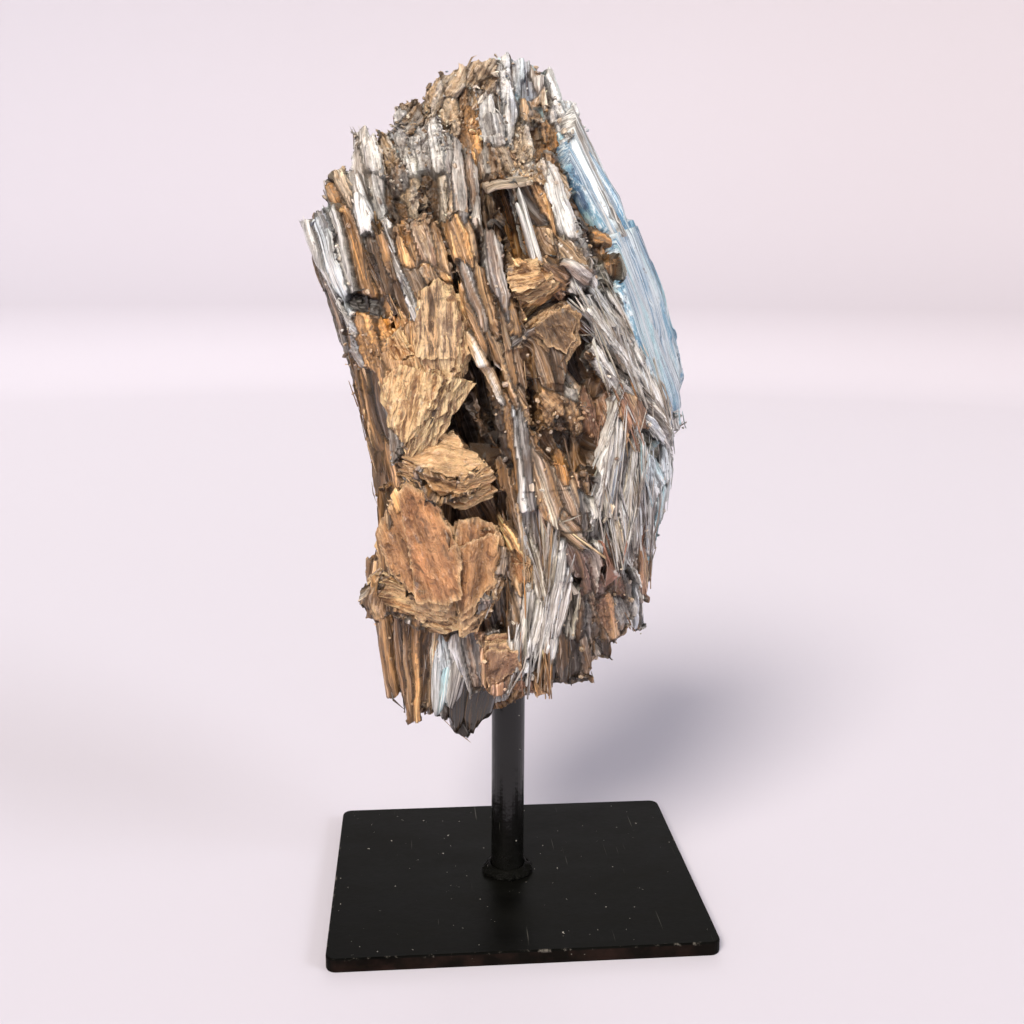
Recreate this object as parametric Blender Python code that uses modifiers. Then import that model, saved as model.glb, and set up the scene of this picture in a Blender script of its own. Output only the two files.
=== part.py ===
"""Kyanite specimen on a welded steel stand.

A steel plate carries a round steel post, welded to it at the foot. The post's top end
stands in a hole drilled up into the specimen, where a collar of epoxy holds it.
The specimen is one grown-together mass of kyanite blades and mica books.

The origin is the centre of the plate's underside. +Z is up and -Y is the front.
"""

import math
import random

import bmesh
import bpy
from mathutils import Matrix, Vector

MM = 0.001
GAP = 0.3 * MM  # between pieces that touch

# Stand
PLATE_WIDTH = 131.5 * MM
PLATE_DEPTH = 105 * MM
PLATE_THICKNESS = 5 * MM
PLATE_CORNER_RADIUS = 3.5 * MM
PLATE_EDGE_ROUNDING = 0.5 * MM
POST_RADIUS = 6 * MM
POST_OFFSET = -2 * MM  # the post stands a little left of the plate's centre
POST_TOP = 112 * MM
WELD_WIDTH = 3 * MM
WELD_HEIGHT = 3 * MM
COLLAR_BOTTOM = 76 * MM
COLLAR_HEIGHT = 14 * MM
COLLAR_WIDTH = 2 * MM
COLLAR_CLEARANCE = 1.2 * MM  # from the collar to the wall of the specimen's hole
HOLE_CLEARANCE = 2 * MM  # from the post's top end to the bottom of the hole
LUMP_HEIGHT = 0.16  # how uneven the weld and the epoxy are, as a share of their width

# The specimen's core at some heights, as height, left, right, front and back, in mm.
# It leans and bows to the right like a closing bracket, and its crown rises to the back.
STATIONS = (
    (72, -34, -8, -14, 6),
    (80, -41, 14, -20, 14),
    (90, -44, 27, -26, 24),
    (104, -46, 37, -32, 31),
    (122, -46, 42, -35, 36),
    (142, -45, 47, -36, 39),
    (162, -46, 50, -35, 40),
    (182, -50, 52, -33, 41),
    (202, -55, 49, -32, 41),
    (220, -61, 43, -28, 40),
    (234, -62, 35, -22, 39),
    (248, -56, 27, -16, 36),
    (260, -47, 20, -9, 33),
    (271, -36, 14, -2, 29),
    (280, -27, 9, 4, 25),
    (287, -16, 4, 9, 21),
)
SEGMENTS = 18
SQUARENESS = 2.5  # exponent of the cross-section: 2 is an ellipse, more is squarer
FACET_JITTER = 1.4 * MM

# How far the grown-on blades may reach, as height, left and right, in mm.
REACH = (
    (75, -41, 4),
    (90, -47, 30),
    (105, -49, 41),
    (120, -50, 44),
    (145, -48, 52),
    (165, -49, 55),
    (185, -53, 57),
    (205, -59, 52),
    (225, -65, 45),
    (240, -68, 37),
    (255, -59, 27),
    (270, -42, 18),
    (285, -24, 7),
)
# The lowest that they may hang, as distance to the right and height, in mm.
UNDERSIDE = ((-47, 93), (-41, 80), (-30, 75), (4, 84), (20, 94), (32, 100), (40, 107), (46, 122))
# The crown's crest from left to right, as distance to the right and height, in mm.
CREST = (
    (-68, 238),
    (-60, 253),
    (-52, 266),
    (-43, 273),
    (-32, 281),
    (-22, 287),
    (-10, 292),
    (1, 290),
    (8, 287),
    (12, 281),
    (17, 274),
    (22, 265),
    (28, 254),
    (34, 244),
    (42, 231),
)
CREST_Y = 9 * MM
CREST_DEPTH = 8 * MM  # the crest is level this far back, and then falls away
CREST_FRONT_SLOPE = 1.12
CREST_BACK_SLOPE = 0.7

# Rows of blades round the sides and back, from -12 to 192 degrees: 0 is the right side.
SIDE_ROWS = 6
SIDE_BLADES_PER_ROW = 8
SIDE_FIRST_HEIGHT = 108
SIDE_ROW_SPACING = 24
SIDE_FIRST_ANGLE = -12
SIDE_ANGLE_RANGE = 204
# Rows of smaller blade ends that stand up through the crown.
CROWN_ROWS = 7
CROWN_ENDS_PER_ROW = 10
CROWN_FIRST_END = (-61, -22)
CROWN_SPACING = (10, 9)
CROWN_END_LENGTH = 28 * MM
CROWN_LOWEST = 236 * MM

# How far the grain leans to the left of upright, in degrees, at some heights in mm.
GRAIN_LEAN = ((60, -16), (110, -9), (150, 2), (190, 14), (240, 21), (290, 24))


def interpolate(table, place, column=1):
    """The value in a column of a table in mm or degrees, at a place in metres along its first."""
    along = place / MM
    if along <= table[0][0]:
        return table[0][column]
    for low, high in zip(table, table[1:]):
        if along <= high[0]:
            share = (along - low[0]) / (high[0] - low[0])
            return low[column] + share * (high[column] - low[column])
    return table[-1][column]


def signed_power(value, exponent):
    return math.copysign(abs(value) ** exponent, value)


def surface_point(height, angle):
    """A point of the core's surface. Angle 0 is the right side and -90 degrees the front."""
    left, right, front, back = (interpolate(STATIONS, height, c) * MM for c in (1, 2, 3, 4))
    across = signed_power(math.cos(angle), 2 / SQUARENESS)
    along = signed_power(math.sin(angle), 2 / SQUARENESS)
    x = (left + right) / 2 + across * (right - left) / 2
    y = (front + back) / 2 + along * (back - front) / 2
    return Vector((x, y, height))


def surface_normal(height, angle):
    step = 0.02
    around = surface_point(height, angle + step) - surface_point(height, angle - step)
    up = surface_point(height + 3 * MM, angle) - surface_point(height - 3 * MM, angle)
    return around.cross(up).normalized()


def grain(height):
    """The direction that the blades grow in at a height."""
    lean = math.radians(interpolate(GRAIN_LEAN, height))
    return Vector((-math.sin(lean), 0, math.cos(lean)))


def clear_scene():
    for old in list(bpy.data.objects):
        bpy.data.objects.remove(old)


def collection(name):
    made = bpy.data.collections.new(name)
    bpy.context.scene.collection.children.link(made)
    return made


def finish(name, colour, roughness, metallic):
    material = bpy.data.materials.new(name)
    material.use_nodes = True
    shader = material.node_tree.nodes["Principled BSDF"]
    shader.inputs["Base Color"].default_value = (*colour, 1)
    shader.inputs["Roughness"].default_value = roughness
    shader.inputs["Metallic"].default_value = metallic
    return material


def add(bm, name, group, material=None):
    """Makes a mesh object from a bmesh, which is freed."""
    mesh = bpy.data.meshes.new(name)
    bm.to_mesh(mesh)
    bm.free()
    made = bpy.data.objects.new(name, mesh)
    group.objects.link(made)
    if material:
        mesh.materials.append(material)
    return made


def hide(helper):
    helper.hide_render = True
    helper.display_type = "WIRE"
    return helper


def fuse(piece, group):
    """Unites a piece with all that is in a collection."""
    modifier = piece.modifiers.new("Fuse", "BOOLEAN")
    modifier.operation = "UNION"
    modifier.solver = "EXACT"
    modifier.operand_type = "COLLECTION"
    modifier.collection = group
    modifier.use_self = True


def cut(piece, cutter):
    modifier = piece.modifiers.new("Cut", "BOOLEAN")
    modifier.operation = "DIFFERENCE"
    modifier.solver = "EXACT"
    modifier.object = cutter


def turned(name, profile, group, steps=32):
    """A solid of revolution about +Z. The profile of radius and height runs down its outer side."""
    bm = bmesh.new()
    points = [bm.verts.new((radius, 0, height)) for radius, height in profile]
    for start, end in zip(points, points[1:]):
        bm.edges.new((start, end))
    made = add(bm, name, group)
    screw = made.modifiers.new("Turn", "SCREW")
    screw.steps = screw.render_steps = steps
    screw.use_merge_vertices = True
    screw.merge_threshold = 0.00001
    return made


def flat_outline(name, outline, thickness, group):
    """A closed slab with a flat outline in its own XY plane, made a mesh with its caps welded."""
    curve = bpy.data.curves.new(name, "CURVE")
    curve.dimensions = "2D"
    curve.fill_mode = "BOTH"
    curve.extrude = thickness / 2
    spline = curve.splines.new("POLY")
    spline.points.add(len(outline) - 1)
    for point, (x, y) in zip(spline.points, outline):
        point.co = (x, y, 0, 1)
    spline.use_cyclic_u = True
    source = bpy.data.objects.new(name + "_outline", curve)
    group.objects.link(source)
    bpy.context.view_layer.update()
    mesh = bpy.data.meshes.new_from_object(source.evaluated_get(bpy.context.evaluated_depsgraph_get()))
    bpy.data.objects.remove(source)
    bm = bmesh.new()
    bm.from_mesh(mesh)
    bpy.data.meshes.remove(mesh)
    bmesh.ops.remove_doubles(bm, verts=bm.verts, dist=0.01 * MM)
    bmesh.ops.recalc_face_normals(bm, faces=bm.faces)
    return add(bm, name, group)


# ---------------------------------------------------------------- stand


def base_plate(group, material):
    bm = bmesh.new()
    bmesh.ops.create_cube(bm, size=1)
    bmesh.ops.scale(bm, vec=(PLATE_WIDTH, PLATE_DEPTH, PLATE_THICKNESS), verts=bm.verts)
    upright = [e for e in bm.edges if abs(e.verts[0].co.z - e.verts[1].co.z) > PLATE_THICKNESS / 2]
    bmesh.ops.bevel(
        bm,
        geom=upright,
        offset=PLATE_CORNER_RADIUS,
        segments=5,
        profile=0.5,
        affect="EDGES",
        material=-1,
    )
    bmesh.ops.translate(bm, vec=(0, 0, PLATE_THICKNESS / 2), verts=bm.verts)
    plate = add(bm, "base_plate", group, material)
    bevel = plate.modifiers.new("Edge rounding", "BEVEL")
    bevel.width = PLATE_EDGE_ROUNDING
    bevel.segments = 2
    bevel.limit_method = "ANGLE"
    bevel.angle_limit = math.radians(60)
    return plate


def post(group, material):
    bottom = PLATE_THICKNESS + GAP
    bm = bmesh.new()
    bmesh.ops.create_cone(
        bm,
        cap_ends=True,
        segments=32,
        radius1=POST_RADIUS,
        radius2=POST_RADIUS,
        depth=POST_TOP - bottom,
    )
    made = add(bm, "post", group, material)
    made.location = (POST_OFFSET, 0, (POST_TOP + bottom) / 2)
    made.data.shade_smooth()
    made.data.set_sharp_from_angle(angle=math.radians(40))
    return made


def lumpy_ring(name, inner, bead, group, material, seed, lumps):
    """A ring around the post, uneven outside. The bead lists radius and height from the top down."""
    profile = [(inner, bead[0][1]), *bead, (inner, bead[-1][1]), (inner, bead[0][1])]
    ring = turned(name, profile, group)
    bpy.context.view_layer.update()
    mesh = bpy.data.meshes.new_from_object(ring.evaluated_get(bpy.context.evaluated_depsgraph_get()))
    bpy.data.objects.remove(ring)
    bm = bmesh.new()
    bm.from_mesh(mesh)
    bpy.data.meshes.remove(mesh)
    bmesh.ops.remove_doubles(bm, verts=bm.verts, dist=0.01 * MM)
    bmesh.ops.recalc_face_normals(bm, faces=bm.faces)
    chance = random.Random(seed)
    phases = [(turns, chance.uniform(0, math.tau)) for turns in lumps]
    for vert in bm.verts:
        reach = math.hypot(vert.co.x, vert.co.y)
        if reach > inner + 0.2 * MM:
            angle = math.atan2(vert.co.y, vert.co.x)
            swell = 1 + LUMP_HEIGHT * sum(math.sin(t * angle + p) for t, p in phases) / len(phases)
            wider = inner + (reach - inner) * swell
            vert.co.x *= wider / reach
            vert.co.y *= wider / reach
    made = add(bm, name, group, material)
    made.location = (POST_OFFSET, 0, 0)
    return made


def foot_weld(group, material):
    low = PLATE_THICKNESS + GAP
    inner = POST_RADIUS + GAP
    bead = [
        (inner + 0.5 * MM, low + WELD_HEIGHT),
        (inner + 0.45 * WELD_WIDTH, low + 0.75 * WELD_HEIGHT),
        (inner + 0.85 * WELD_WIDTH, low + 0.38 * WELD_HEIGHT),
        (inner + WELD_WIDTH, low),
    ]
    return lumpy_ring("foot_weld", inner, bead, group, material, seed=3, lumps=(3, 5, 8, 13))


def collar_profile(margin):
    """Outer line of the epoxy collar, grown by a margin."""
    inner = POST_RADIUS + GAP
    top = COLLAR_BOTTOM + COLLAR_HEIGHT
    return [
        (inner + 0.6 * COLLAR_WIDTH + margin, top + margin),
        (inner + COLLAR_WIDTH + margin, COLLAR_BOTTOM + 0.6 * COLLAR_HEIGHT),
        (inner + COLLAR_WIDTH + margin, COLLAR_BOTTOM + 0.2 * COLLAR_HEIGHT),
        (inner + 0.4 * COLLAR_WIDTH + margin, COLLAR_BOTTOM - margin),
    ]


def epoxy_collar(group, material):
    inner = POST_RADIUS + GAP
    return lumpy_ring("epoxy_collar", inner, collar_profile(0), group, material, seed=5, lumps=(2, 3, 7))


# ---------------------------------------------------------------- specimen


def core(group, material):
    """The body that the blades and books grow from: a loft through unlike sections."""
    chance = random.Random(11)
    bm = bmesh.new()
    rings = []
    for row, station in enumerate(STATIONS):
        ring = []
        for step in range(SEGMENTS):
            angle = math.tau * (step + 0.5 * (row % 2)) / SEGMENTS
            spot = surface_point(station[0] * MM, angle)
            spot += Vector([chance.uniform(-1, 1) * FACET_JITTER for _ in range(3)])
            ring.append(bm.verts.new(spot))
        rings.append(ring)
    for row, (low, high) in enumerate(zip(rings, rings[1:])):
        for step in range(SEGMENTS):
            after = (step + 1) % SEGMENTS
            if row % 2:
                bm.faces.new((low[step], low[after], high[after]))
                bm.faces.new((low[step], high[after], high[step]))
            else:
                bm.faces.new((low[step], low[after], high[step]))
                bm.faces.new((low[after], high[after], high[step]))
    bm.faces.new(reversed(rings[0]))
    bm.faces.new(rings[-1])
    bmesh.ops.recalc_face_normals(bm, faces=bm.faces)
    return add(bm, "specimen", group, material)


def blade(name, group, foot, tip, width, thickness, facing, chance, taper=0.8, chamfer=0.22):
    """A kyanite blade: a flat prism from foot to tip, broken off askew at the tip."""
    foot, tip = Vector(foot), Vector(tip)
    axis = (tip - foot).normalized()
    flat = Vector(facing)
    flat = (flat - flat.dot(axis) * axis).normalized()
    side = flat.cross(axis)
    length = (tip - foot).length
    bm = bmesh.new()
    bmesh.ops.create_cube(bm, size=1)
    bmesh.ops.scale(bm, vec=(width, thickness, length), verts=bm.verts)
    if chamfer:
        upright = [e for e in bm.edges if abs(e.verts[0].co.z - e.verts[1].co.z) > length / 2]
        bmesh.ops.bevel(
            bm,
            geom=upright,
            offset=chamfer * thickness,
            segments=1,
            profile=0.5,
            affect="EDGES",
            material=-1,
        )
    lift = chance.uniform(-0.45, 0.45) * width
    lean = chance.uniform(-0.5, 0.5) * thickness
    for vert in bm.verts:
        if vert.co.z > 0:
            vert.co.z += vert.co.x / width * lift + vert.co.y / thickness * lean
            vert.co.x *= taper
            vert.co.y *= 0.5 + 0.5 * taper
    turn = Matrix((side, -flat, axis)).transposed().to_4x4()
    bmesh.ops.transform(bm, matrix=turn, verts=bm.verts)
    bmesh.ops.translate(bm, vec=(foot + tip) / 2, verts=bm.verts)
    bmesh.ops.recalc_face_normals(bm, faces=bm.faces)
    return hide(add(bm, name, group))


# Blades that stand out, as foot, tip, width, thickness, facing and taper, lengths in mm.
CROWN_BLADES = {
    "peak": ((-2, 6, 262), (-6, 11, 292), 10, 9, (-0.2, -1, 0.2), 0.8),
    "peak_blue": ((7, 8, 262), (1, 11, 291), 11, 10, (0.3, -1, 0.2), 0.7),
    "crest_slab": ((20, 6, 250), (6, 11, 288), 13, 12, (0.6, -0.8, 0.3), 0.7),
    "crest_slab_right": ((29, 2, 238), (14, 8, 277), 13, 12, (0.6, -0.8, 0.2), 0.8),
    "crest_left": ((-10, 8, 262), (-17, 13, 290), 13, 11, (0.2, -1, 0.2), 0.8),
    "crest_left_middle": ((-19, 7, 256), (-27, 12, 285), 13, 11, (-0.2, -1, 0.2), 0.8),
    "crest_left_low": ((-30, 6, 250), (-38, 11, 279), 13, 11, (0.1, -1, 0.2), 0.8),
    "silver_pair_left": ((-7, -9, 254), (-12, -2, 280), 9, 8, (-0.1, -1, 0.3), 0.5),
    "silver_pair_right": ((-1, -7, 256), (-6, 0, 284), 7, 8, (0.2, -1, 0.2), 0.5),
    "tall_spear": ((-19, -34, 228), (-22, -24, 264), 10, 9, (-0.2, -1, 0.2), 0.35),
    "tall_spear_right": ((-13, -33, 230), (-17, -25, 260), 8, 8, (0.2, -1, 0.1), 0.4),
    "group_left": ((-24, -10, 248), (-28, -4, 271), 9, 8, (-0.3, -1, 0.2), 0.55),
    "group_middle": ((-34, -3, 250), (-38, 4, 272), 9, 8, (0.1, -1, 0.3), 0.6),
    "silver_far": ((-46, -7, 243), (-51, 0, 267), 9, 8, (-0.3, -1, 0.2), 0.6),
    "silver_far_front": ((-41, -16, 238), (-47, -8, 262), 8, 8, (0, -1, 0.2), 0.5),
    "brown_far": ((-53, -8, 232), (-58, -2, 253), 9, 10, (-0.5, -1, 0.2), 0.6),
    "brown_far_front": ((-49, -17, 230), (-53, -10, 253), 8, 8, (-0.2, -1, 0.2), 0.6),
    "flat_ledge": ((-13, -31, 249), (5, -30, 251), 13, 3.2, (0, -0.2, 1), 0.9),
    "thin_white": ((2, -40, 222), (-5, -36, 248), 4, 9, (0, -1, 0), 0.9),
    "dark_slab": ((7, -36, 222), (0, -31, 249), 10, 9, (0, -1, 0), 0.9),
    "broad_silver": ((11, -39, 226), (6, -32, 257), 10, 9, (0.2, -1, 0), 0.55),
    "clump_left": ((-37, -34, 220), (-41, -27, 240), 8, 8, (-0.2, -1, 0.2), 0.6),
    "clump_middle": ((-31, -35, 220), (-35, -29, 240), 7, 8, (0.1, -1, 0.2), 0.6),
    "clump_right": ((-26, -36, 220), (-30, -29, 242), 7, 8, (0, -1, 0.2), 0.6),
}
UPPER_BLADES = {
    "left_flank": ((-40, 1, 150), (-63, 2, 239), 22, 10, (-0.95, -0.3, -0.1), 0.9),
    "left_edge": ((-50, -17, 206), (-65, -11, 239), 10, 9, (-0.5, -1, 0), 0.9),
    "left_edge_inner": ((-43, -26, 206), (-58, -18, 243), 8, 8, (-0.3, -1, 0), 0.8),
    "long_rib": ((-32, -37, 198), (-52, -25, 244), 8, 8, (-0.2, -1, 0), 0.8),
    "long_rib_inner": ((-26, -39, 206), (-42, -31, 236), 7, 8, (0, -1, 0), 0.7),
    "grey_blade": ((-12, -42, 196), (-20, -35, 240), 10, 9, (-0.1, -1, 0), 0.9),
    "striped_blade": ((-4, -42, 200), (-11, -38, 238), 9, 9, (0.1, -1, 0), 0.6),
    "upper_blue": ((28, -16, 226), (17, -6, 267), 13, 9, (0.6, -0.8, 0.2), 0.55),
    "main_blue": ((55, 3, 168), (38, 5, 236), 24, 10, (0.88, -0.48, 0.1), 0.9),
    "right_shoulder": ((38, -22, 196), (25, -26, 229), 12, 9, (0.5, -0.9, 0), 0.8),
    "notch_fill": ((24, -32, 205), (14, -26, 238), 9, 9, (0.2, -1, 0), 0.8),
}
CENTRE_BLADES = {
    "hollow_wall": ((2, -42, 156), (-18, -39, 207), 8, 9, (-0.3, -1, 0), 0.6),
    "hollow_wall_inner": ((-6, -41, 158), (-23, -36, 199), 6, 8, (-0.2, -1, 0), 0.6),
    "rib_middle": ((1, -43, 152), (-7, -41, 212), 8, 9, (0, -1, 0), 0.8),
    "seam": ((5, -35, 88), (0, -42, 176), 9, 9, (-0.2, -1, 0), 0.8),
    "seam_left": ((-1, -38, 98), (-4, -42, 158), 7, 9, (-0.4, -1, 0), 0.7),
    "seam_right": ((11, -32, 90), (8, -41, 150), 9, 9, (0.3, -1, 0), 0.8),
    "fan_low": ((18, -28, 90), (21, -37, 140), 9, 9, (0.2, -1, 0), 0.8),
    "fan_inner": ((14, -38, 128), (19, -40, 164), 9, 8, (0.2, -1, 0), 0.7),
    "fan_bright": ((21, -38, 148), (32, -30, 190), 9, 9, (0.5, -0.9, 0), 0.7),
    "fan_outer": ((26, -34, 130), (38, -25, 174), 11, 9, (0.5, -0.9, 0), 0.8),
    "fan_edge": ((37, -15, 114), (50, -7, 174), 17, 10, (0.8, -0.6, 0), 0.9),
    "cross_ridge": ((50, -12, 174), (17, -37, 213), 9, 9, (0.5, -0.8, 0.3), 0.7),
    "cross_ridge_low": ((43, -20, 168), (18, -38, 201), 9, 8, (0.5, -0.9, 0), 0.7),
}
FOOT_BLADES = {
    "low_right_edge": ((42, -6, 138), (38, -6, 102), 14, 10, (0.8, -0.6, 0), 0.85),
    "low_right": ((36, -17, 130), (33, -10, 99), 10, 9, (0.5, -1, 0), 0.8),
    "low_right_inner": ((28, -23, 130), (27, -14, 95), 9, 9, (0.3, -1, 0), 0.75),
    "low_right_first": ((20, -26, 124), (19, -15, 94), 9, 9, (0.2, -1, 0), 0.75),
    "brown_tip": ((-40, -22, 124), (-35, -17, 73), 9, 8, (-0.3, -1, 0), 0.7),
    "brown_tip_left": ((-46, -14, 130), (-41, -12, 81), 10, 9, (-0.7, -0.7, 0), 0.7),
    "brown_tip_right": ((-33, -26, 118), (-31, -18, 79), 7, 8, (0, -1, 0), 0.7),
    "bright_tip": ((-24, -26, 112), (-27, -20, 74), 7, 6, (-0.2, -1, 0), 0.6),
    "dark_tip": ((-16, -18, 112), (-20, -15, 65), 17, 12, (0, -1, -0.2), 0.4),
    "short_fan_left": ((-21, -33, 112), (-14, -25, 85), 9, 8, (0, -1, -0.3), 0.7),
    "short_fan_right": ((-12, -36, 112), (-7, -28, 86), 9, 8, (0.1, -1, -0.2), 0.7),
}

# Mica books, as centre, turn left and tilt back and spin in degrees, thickness and outline, in mm.
# An outline is seen square on, from in front of the book.
MICA_BOOKS = {
    "left_shield": (
        (-34, -41, 141), (14, 5, 0), 7,
        ((-4, 21), (3, 14), (11, 4), (13, -17), (0, -19), (-12, -8), (-13, 2), (-9, 11)),
    ),
    "right_shield": (
        (-15, -43, 131), (-8, -5, 0), 7,
        ((-6, 15), (3, 17), (8, 8), (8, -2), (0, -14), (-8, -17), (-9, -4)),
    ),
    "shield_ledge": (
        (-30, -38, 119), (6, -36, 0), 8,
        ((-22, 9), (-16, 14), (0, 8), (22, 9), (15, -5), (4, -13), (-9, -4), (-19, 1)),
    ),
    "gold_book": (
        (-25, -42, 166), (10, 42, 0), 7,
        ((-13, 1), (-1, 13), (13, -1), (10, -6), (-4, -13)),
    ),
    "gold_book_front": (
        (-25, -45, 161), (12, 30, 0), 5,
        ((-12, 3), (2, 6), (12, 4), (9, -4), (-4, -9)),
    ),
    "wood_plate_edge": (
        (-34, -41, 184), (22, 12, 0), 6,
        ((-8, 12), (2, 10), (6, -2), (-1, -15), (-6, -19), (-10, -2)),
    ),
    "wood_plate": (
        (-32, -38, 192), (18, 5, 0), 9,
        ((-7, 18), (3, 24), (11, 17), (11, 2), (1, -20), (-8, -25), (-14, 0)),
    ),
    "gold_patch": (
        (-47, -26, 200), (34, 8, 0), 8,
        ((-8, 10), (4, 11), (10, 3), (6, -9), (-6, -6)),
    ),
    "hanging_book": (
        (6, -41, 222), (-8, -38, 0), 7,
        ((-12, 3), (-3, 8), (15, 6), (16, 0), (3, -6), (-9, -9)),
    ),
    "brown_plate": (
        (7, -39, 199), (-14, 4, 0), 8,
        ((-9, 8), (1, 12), (8, 3), (4, -10), (-7, -8)),
    ),
    "brown_plate_low": (
        (10, -37, 182), (-20, -8, 0), 8,
        ((-9, 9), (4, 8), (9, -2), (3, -9), (-7, -5)),
    ),
    "smooth_plate": (
        (8, -42, 159), (-14, 4, 0), 7,
        ((-8, 15), (7, 3), (8, -9), (-1, -14), (-6, -4)),
    ),
    "pink_plate": (
        (-8, -36, 98), (-8, -8, 0), 8,
        ((-7, 9), (6, 9), (7, -3), (2, -9), (-4, -9), (-8, -2)),
    ),
    "red_patch": (
        (27, -28, 116), (-30, -6, 0), 8,
        ((-12, 13), (2, 13), (13, 10), (12, -5), (1, -13), (-9, -9)),
    ),
    "back_book": (
        (-20, 39, 150), (172, 6, 0), 8,
        ((-13, 8), (-1, 16), (12, 8), (14, -6), (2, -15), (-12, -8)),
    ),
    "back_book_low": (
        (8, 35, 118), (186, -8, 0), 8,
        ((-12, 9), (3, 13), (13, 3), (8, -11), (-9, -10)),
    ),
    "back_book_high": (
        (-34, 38, 205), (164, 10, 0), 8,
        ((-11, 10), (4, 13), (12, 0), (4, -12), (-10, -8)),
    ),
}


def large_blades(group):
    chance = random.Random(21)
    for table in (CROWN_BLADES, UPPER_BLADES, CENTRE_BLADES, FOOT_BLADES):
        for name, (foot, tip, width, thickness, facing, taper) in table.items():
            foot = Vector(foot) * MM
            tip = Vector(tip) * MM
            chamfer = 0.22 if width > 9 else 0
            width *= MM
            thickness *= MM
            blade(name, group, foot, tip, width, thickness, facing, chance, taper, chamfer)


def mica_books(group):
    for name, (centre, (turn, tilt, spin), thickness, outline) in MICA_BOOKS.items():
        outline = [(x * MM, y * MM) for x, y in outline]
        book = hide(flat_outline(name, outline, thickness * MM, group))
        stand_up = Matrix.Rotation(math.radians(90 - tilt), 4, "X")
        face = Matrix.Rotation(-math.radians(turn), 4, "Z") @ stand_up
        place = Matrix.Translation(Vector(centre) * MM) @ face
        book.data.transform(place @ Matrix.Rotation(math.radians(spin), 4, "Z"))


def kept_in(point, reach):
    """A blade's end, slid sideways and up until the blade is within the specimen's limits."""
    left = interpolate(REACH, point.z, 1) * MM + reach
    right = interpolate(REACH, point.z, 2) * MM - reach
    x = min(max(point.x, left), right)
    z = max(point.z, interpolate(UNDERSIDE, x) * MM + 2 * MM)
    return Vector((x, point.y, z))


def side_blades(group):
    """Rows of blades round the sides and back, along the grain and a little proud of the core."""
    chance = random.Random(31)
    for row in range(SIDE_ROWS):
        height = (SIDE_FIRST_HEIGHT + SIDE_ROW_SPACING * row) * MM
        for step in range(SIDE_BLADES_PER_ROW):
            share = (step + 0.5 * (row % 2)) / (SIDE_BLADES_PER_ROW - 0.5)
            angle = math.radians(SIDE_FIRST_ANGLE + SIDE_ANGLE_RANGE * share)
            angle += chance.uniform(-0.06, 0.06)
            normal = surface_normal(height, angle)
            thickness = chance.uniform(8, 10) * MM
            width = chance.uniform(11, 18) * MM
            axis = grain(height)
            axis = (axis - 0.9 * axis.dot(normal) * normal).normalized()
            axis = (axis + Vector([chance.uniform(-0.09, 0.09) for _ in range(3)])).normalized()
            facing = normal + axis.cross(normal) * chance.uniform(-0.45, 0.45)
            middle = surface_point(height + chance.uniform(-8, 8) * MM, angle)
            middle -= normal * (thickness / 2 - chance.uniform(1, 3.5) * MM)
            half = axis * chance.uniform(20, 32) * MM
            reach = abs(facing.normalized().x) * thickness / 2 + abs(facing.normalized().y) * width / 2
            foot = kept_in(middle - half, reach)
            tip = kept_in(middle + half, reach)
            taper = chance.uniform(0.6, 0.95)
            blade(f"side_{row}_{step}", group, foot, tip, width, thickness, facing, chance, taper, 0)


def crown_height(x, y):
    """Height of the crown at a place: it falls from the crest to the front and to the back."""
    crest = interpolate(CREST, x) * MM
    front = max(0, CREST_Y - y) * CREST_FRONT_SLOPE
    back = max(0, y - CREST_Y - CREST_DEPTH) * CREST_BACK_SLOPE
    return crest - front - back


def crown_fill(group):
    """Smaller blade ends between the large ones, standing up through the crown in steps."""
    chance = random.Random(41)
    for row in range(CROWN_ROWS):
        for step in range(CROWN_ENDS_PER_ROW):
            x = (CROWN_FIRST_END[0] + CROWN_SPACING[0] * step + chance.uniform(-3, 3)) * MM
            y = (CROWN_FIRST_END[1] + CROWN_SPACING[1] * row + chance.uniform(-3, 3)) * MM
            top = crown_height(x, y) + chance.uniform(-5, 1) * MM
            if top < CROWN_LOWEST:
                continue
            tip = kept_in(Vector((x, y, top)), 4 * MM)
            foot = tip - grain(top) * CROWN_END_LENGTH
            foot.y += 0.1 * (CREST_Y - foot.y)
            width = chance.uniform(7, 11) * MM
            thickness = chance.uniform(6, 9) * MM
            facing = (chance.uniform(-0.5, 0.5), -1, 0.3)
            taper = chance.uniform(0.4, 0.8)
            blade(f"crown_{row}_{step}", group, foot, tip, width, thickness, facing, chance, taper, 0)


def fill_pockets(piece):
    """Applies a piece's modifiers and keeps only its outer shell, so that it's solid inside."""
    bpy.context.view_layer.update()
    mesh = bpy.data.meshes.new_from_object(piece.evaluated_get(bpy.context.evaluated_depsgraph_get()))
    piece.modifiers.clear()
    piece.data = mesh
    bm = bmesh.new()
    bm.from_mesh(mesh)
    unseen = set(bm.verts)
    shells = []
    while unseen:
        shell = set()
        edge_of_search = [unseen.pop()]
        while edge_of_search:
            vert = edge_of_search.pop()
            shell.add(vert)
            for link in vert.link_edges:
                other = link.other_vert(vert)
                if other in unseen:
                    unseen.remove(other)
                    edge_of_search.append(other)
        shells.append(shell)
    shells.sort(key=len)
    inner = [vert for shell in shells[:-1] for vert in shell]
    bmesh.ops.delete(bm, geom=inner, context="VERTS")
    bm.to_mesh(mesh)
    bm.free()


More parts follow.
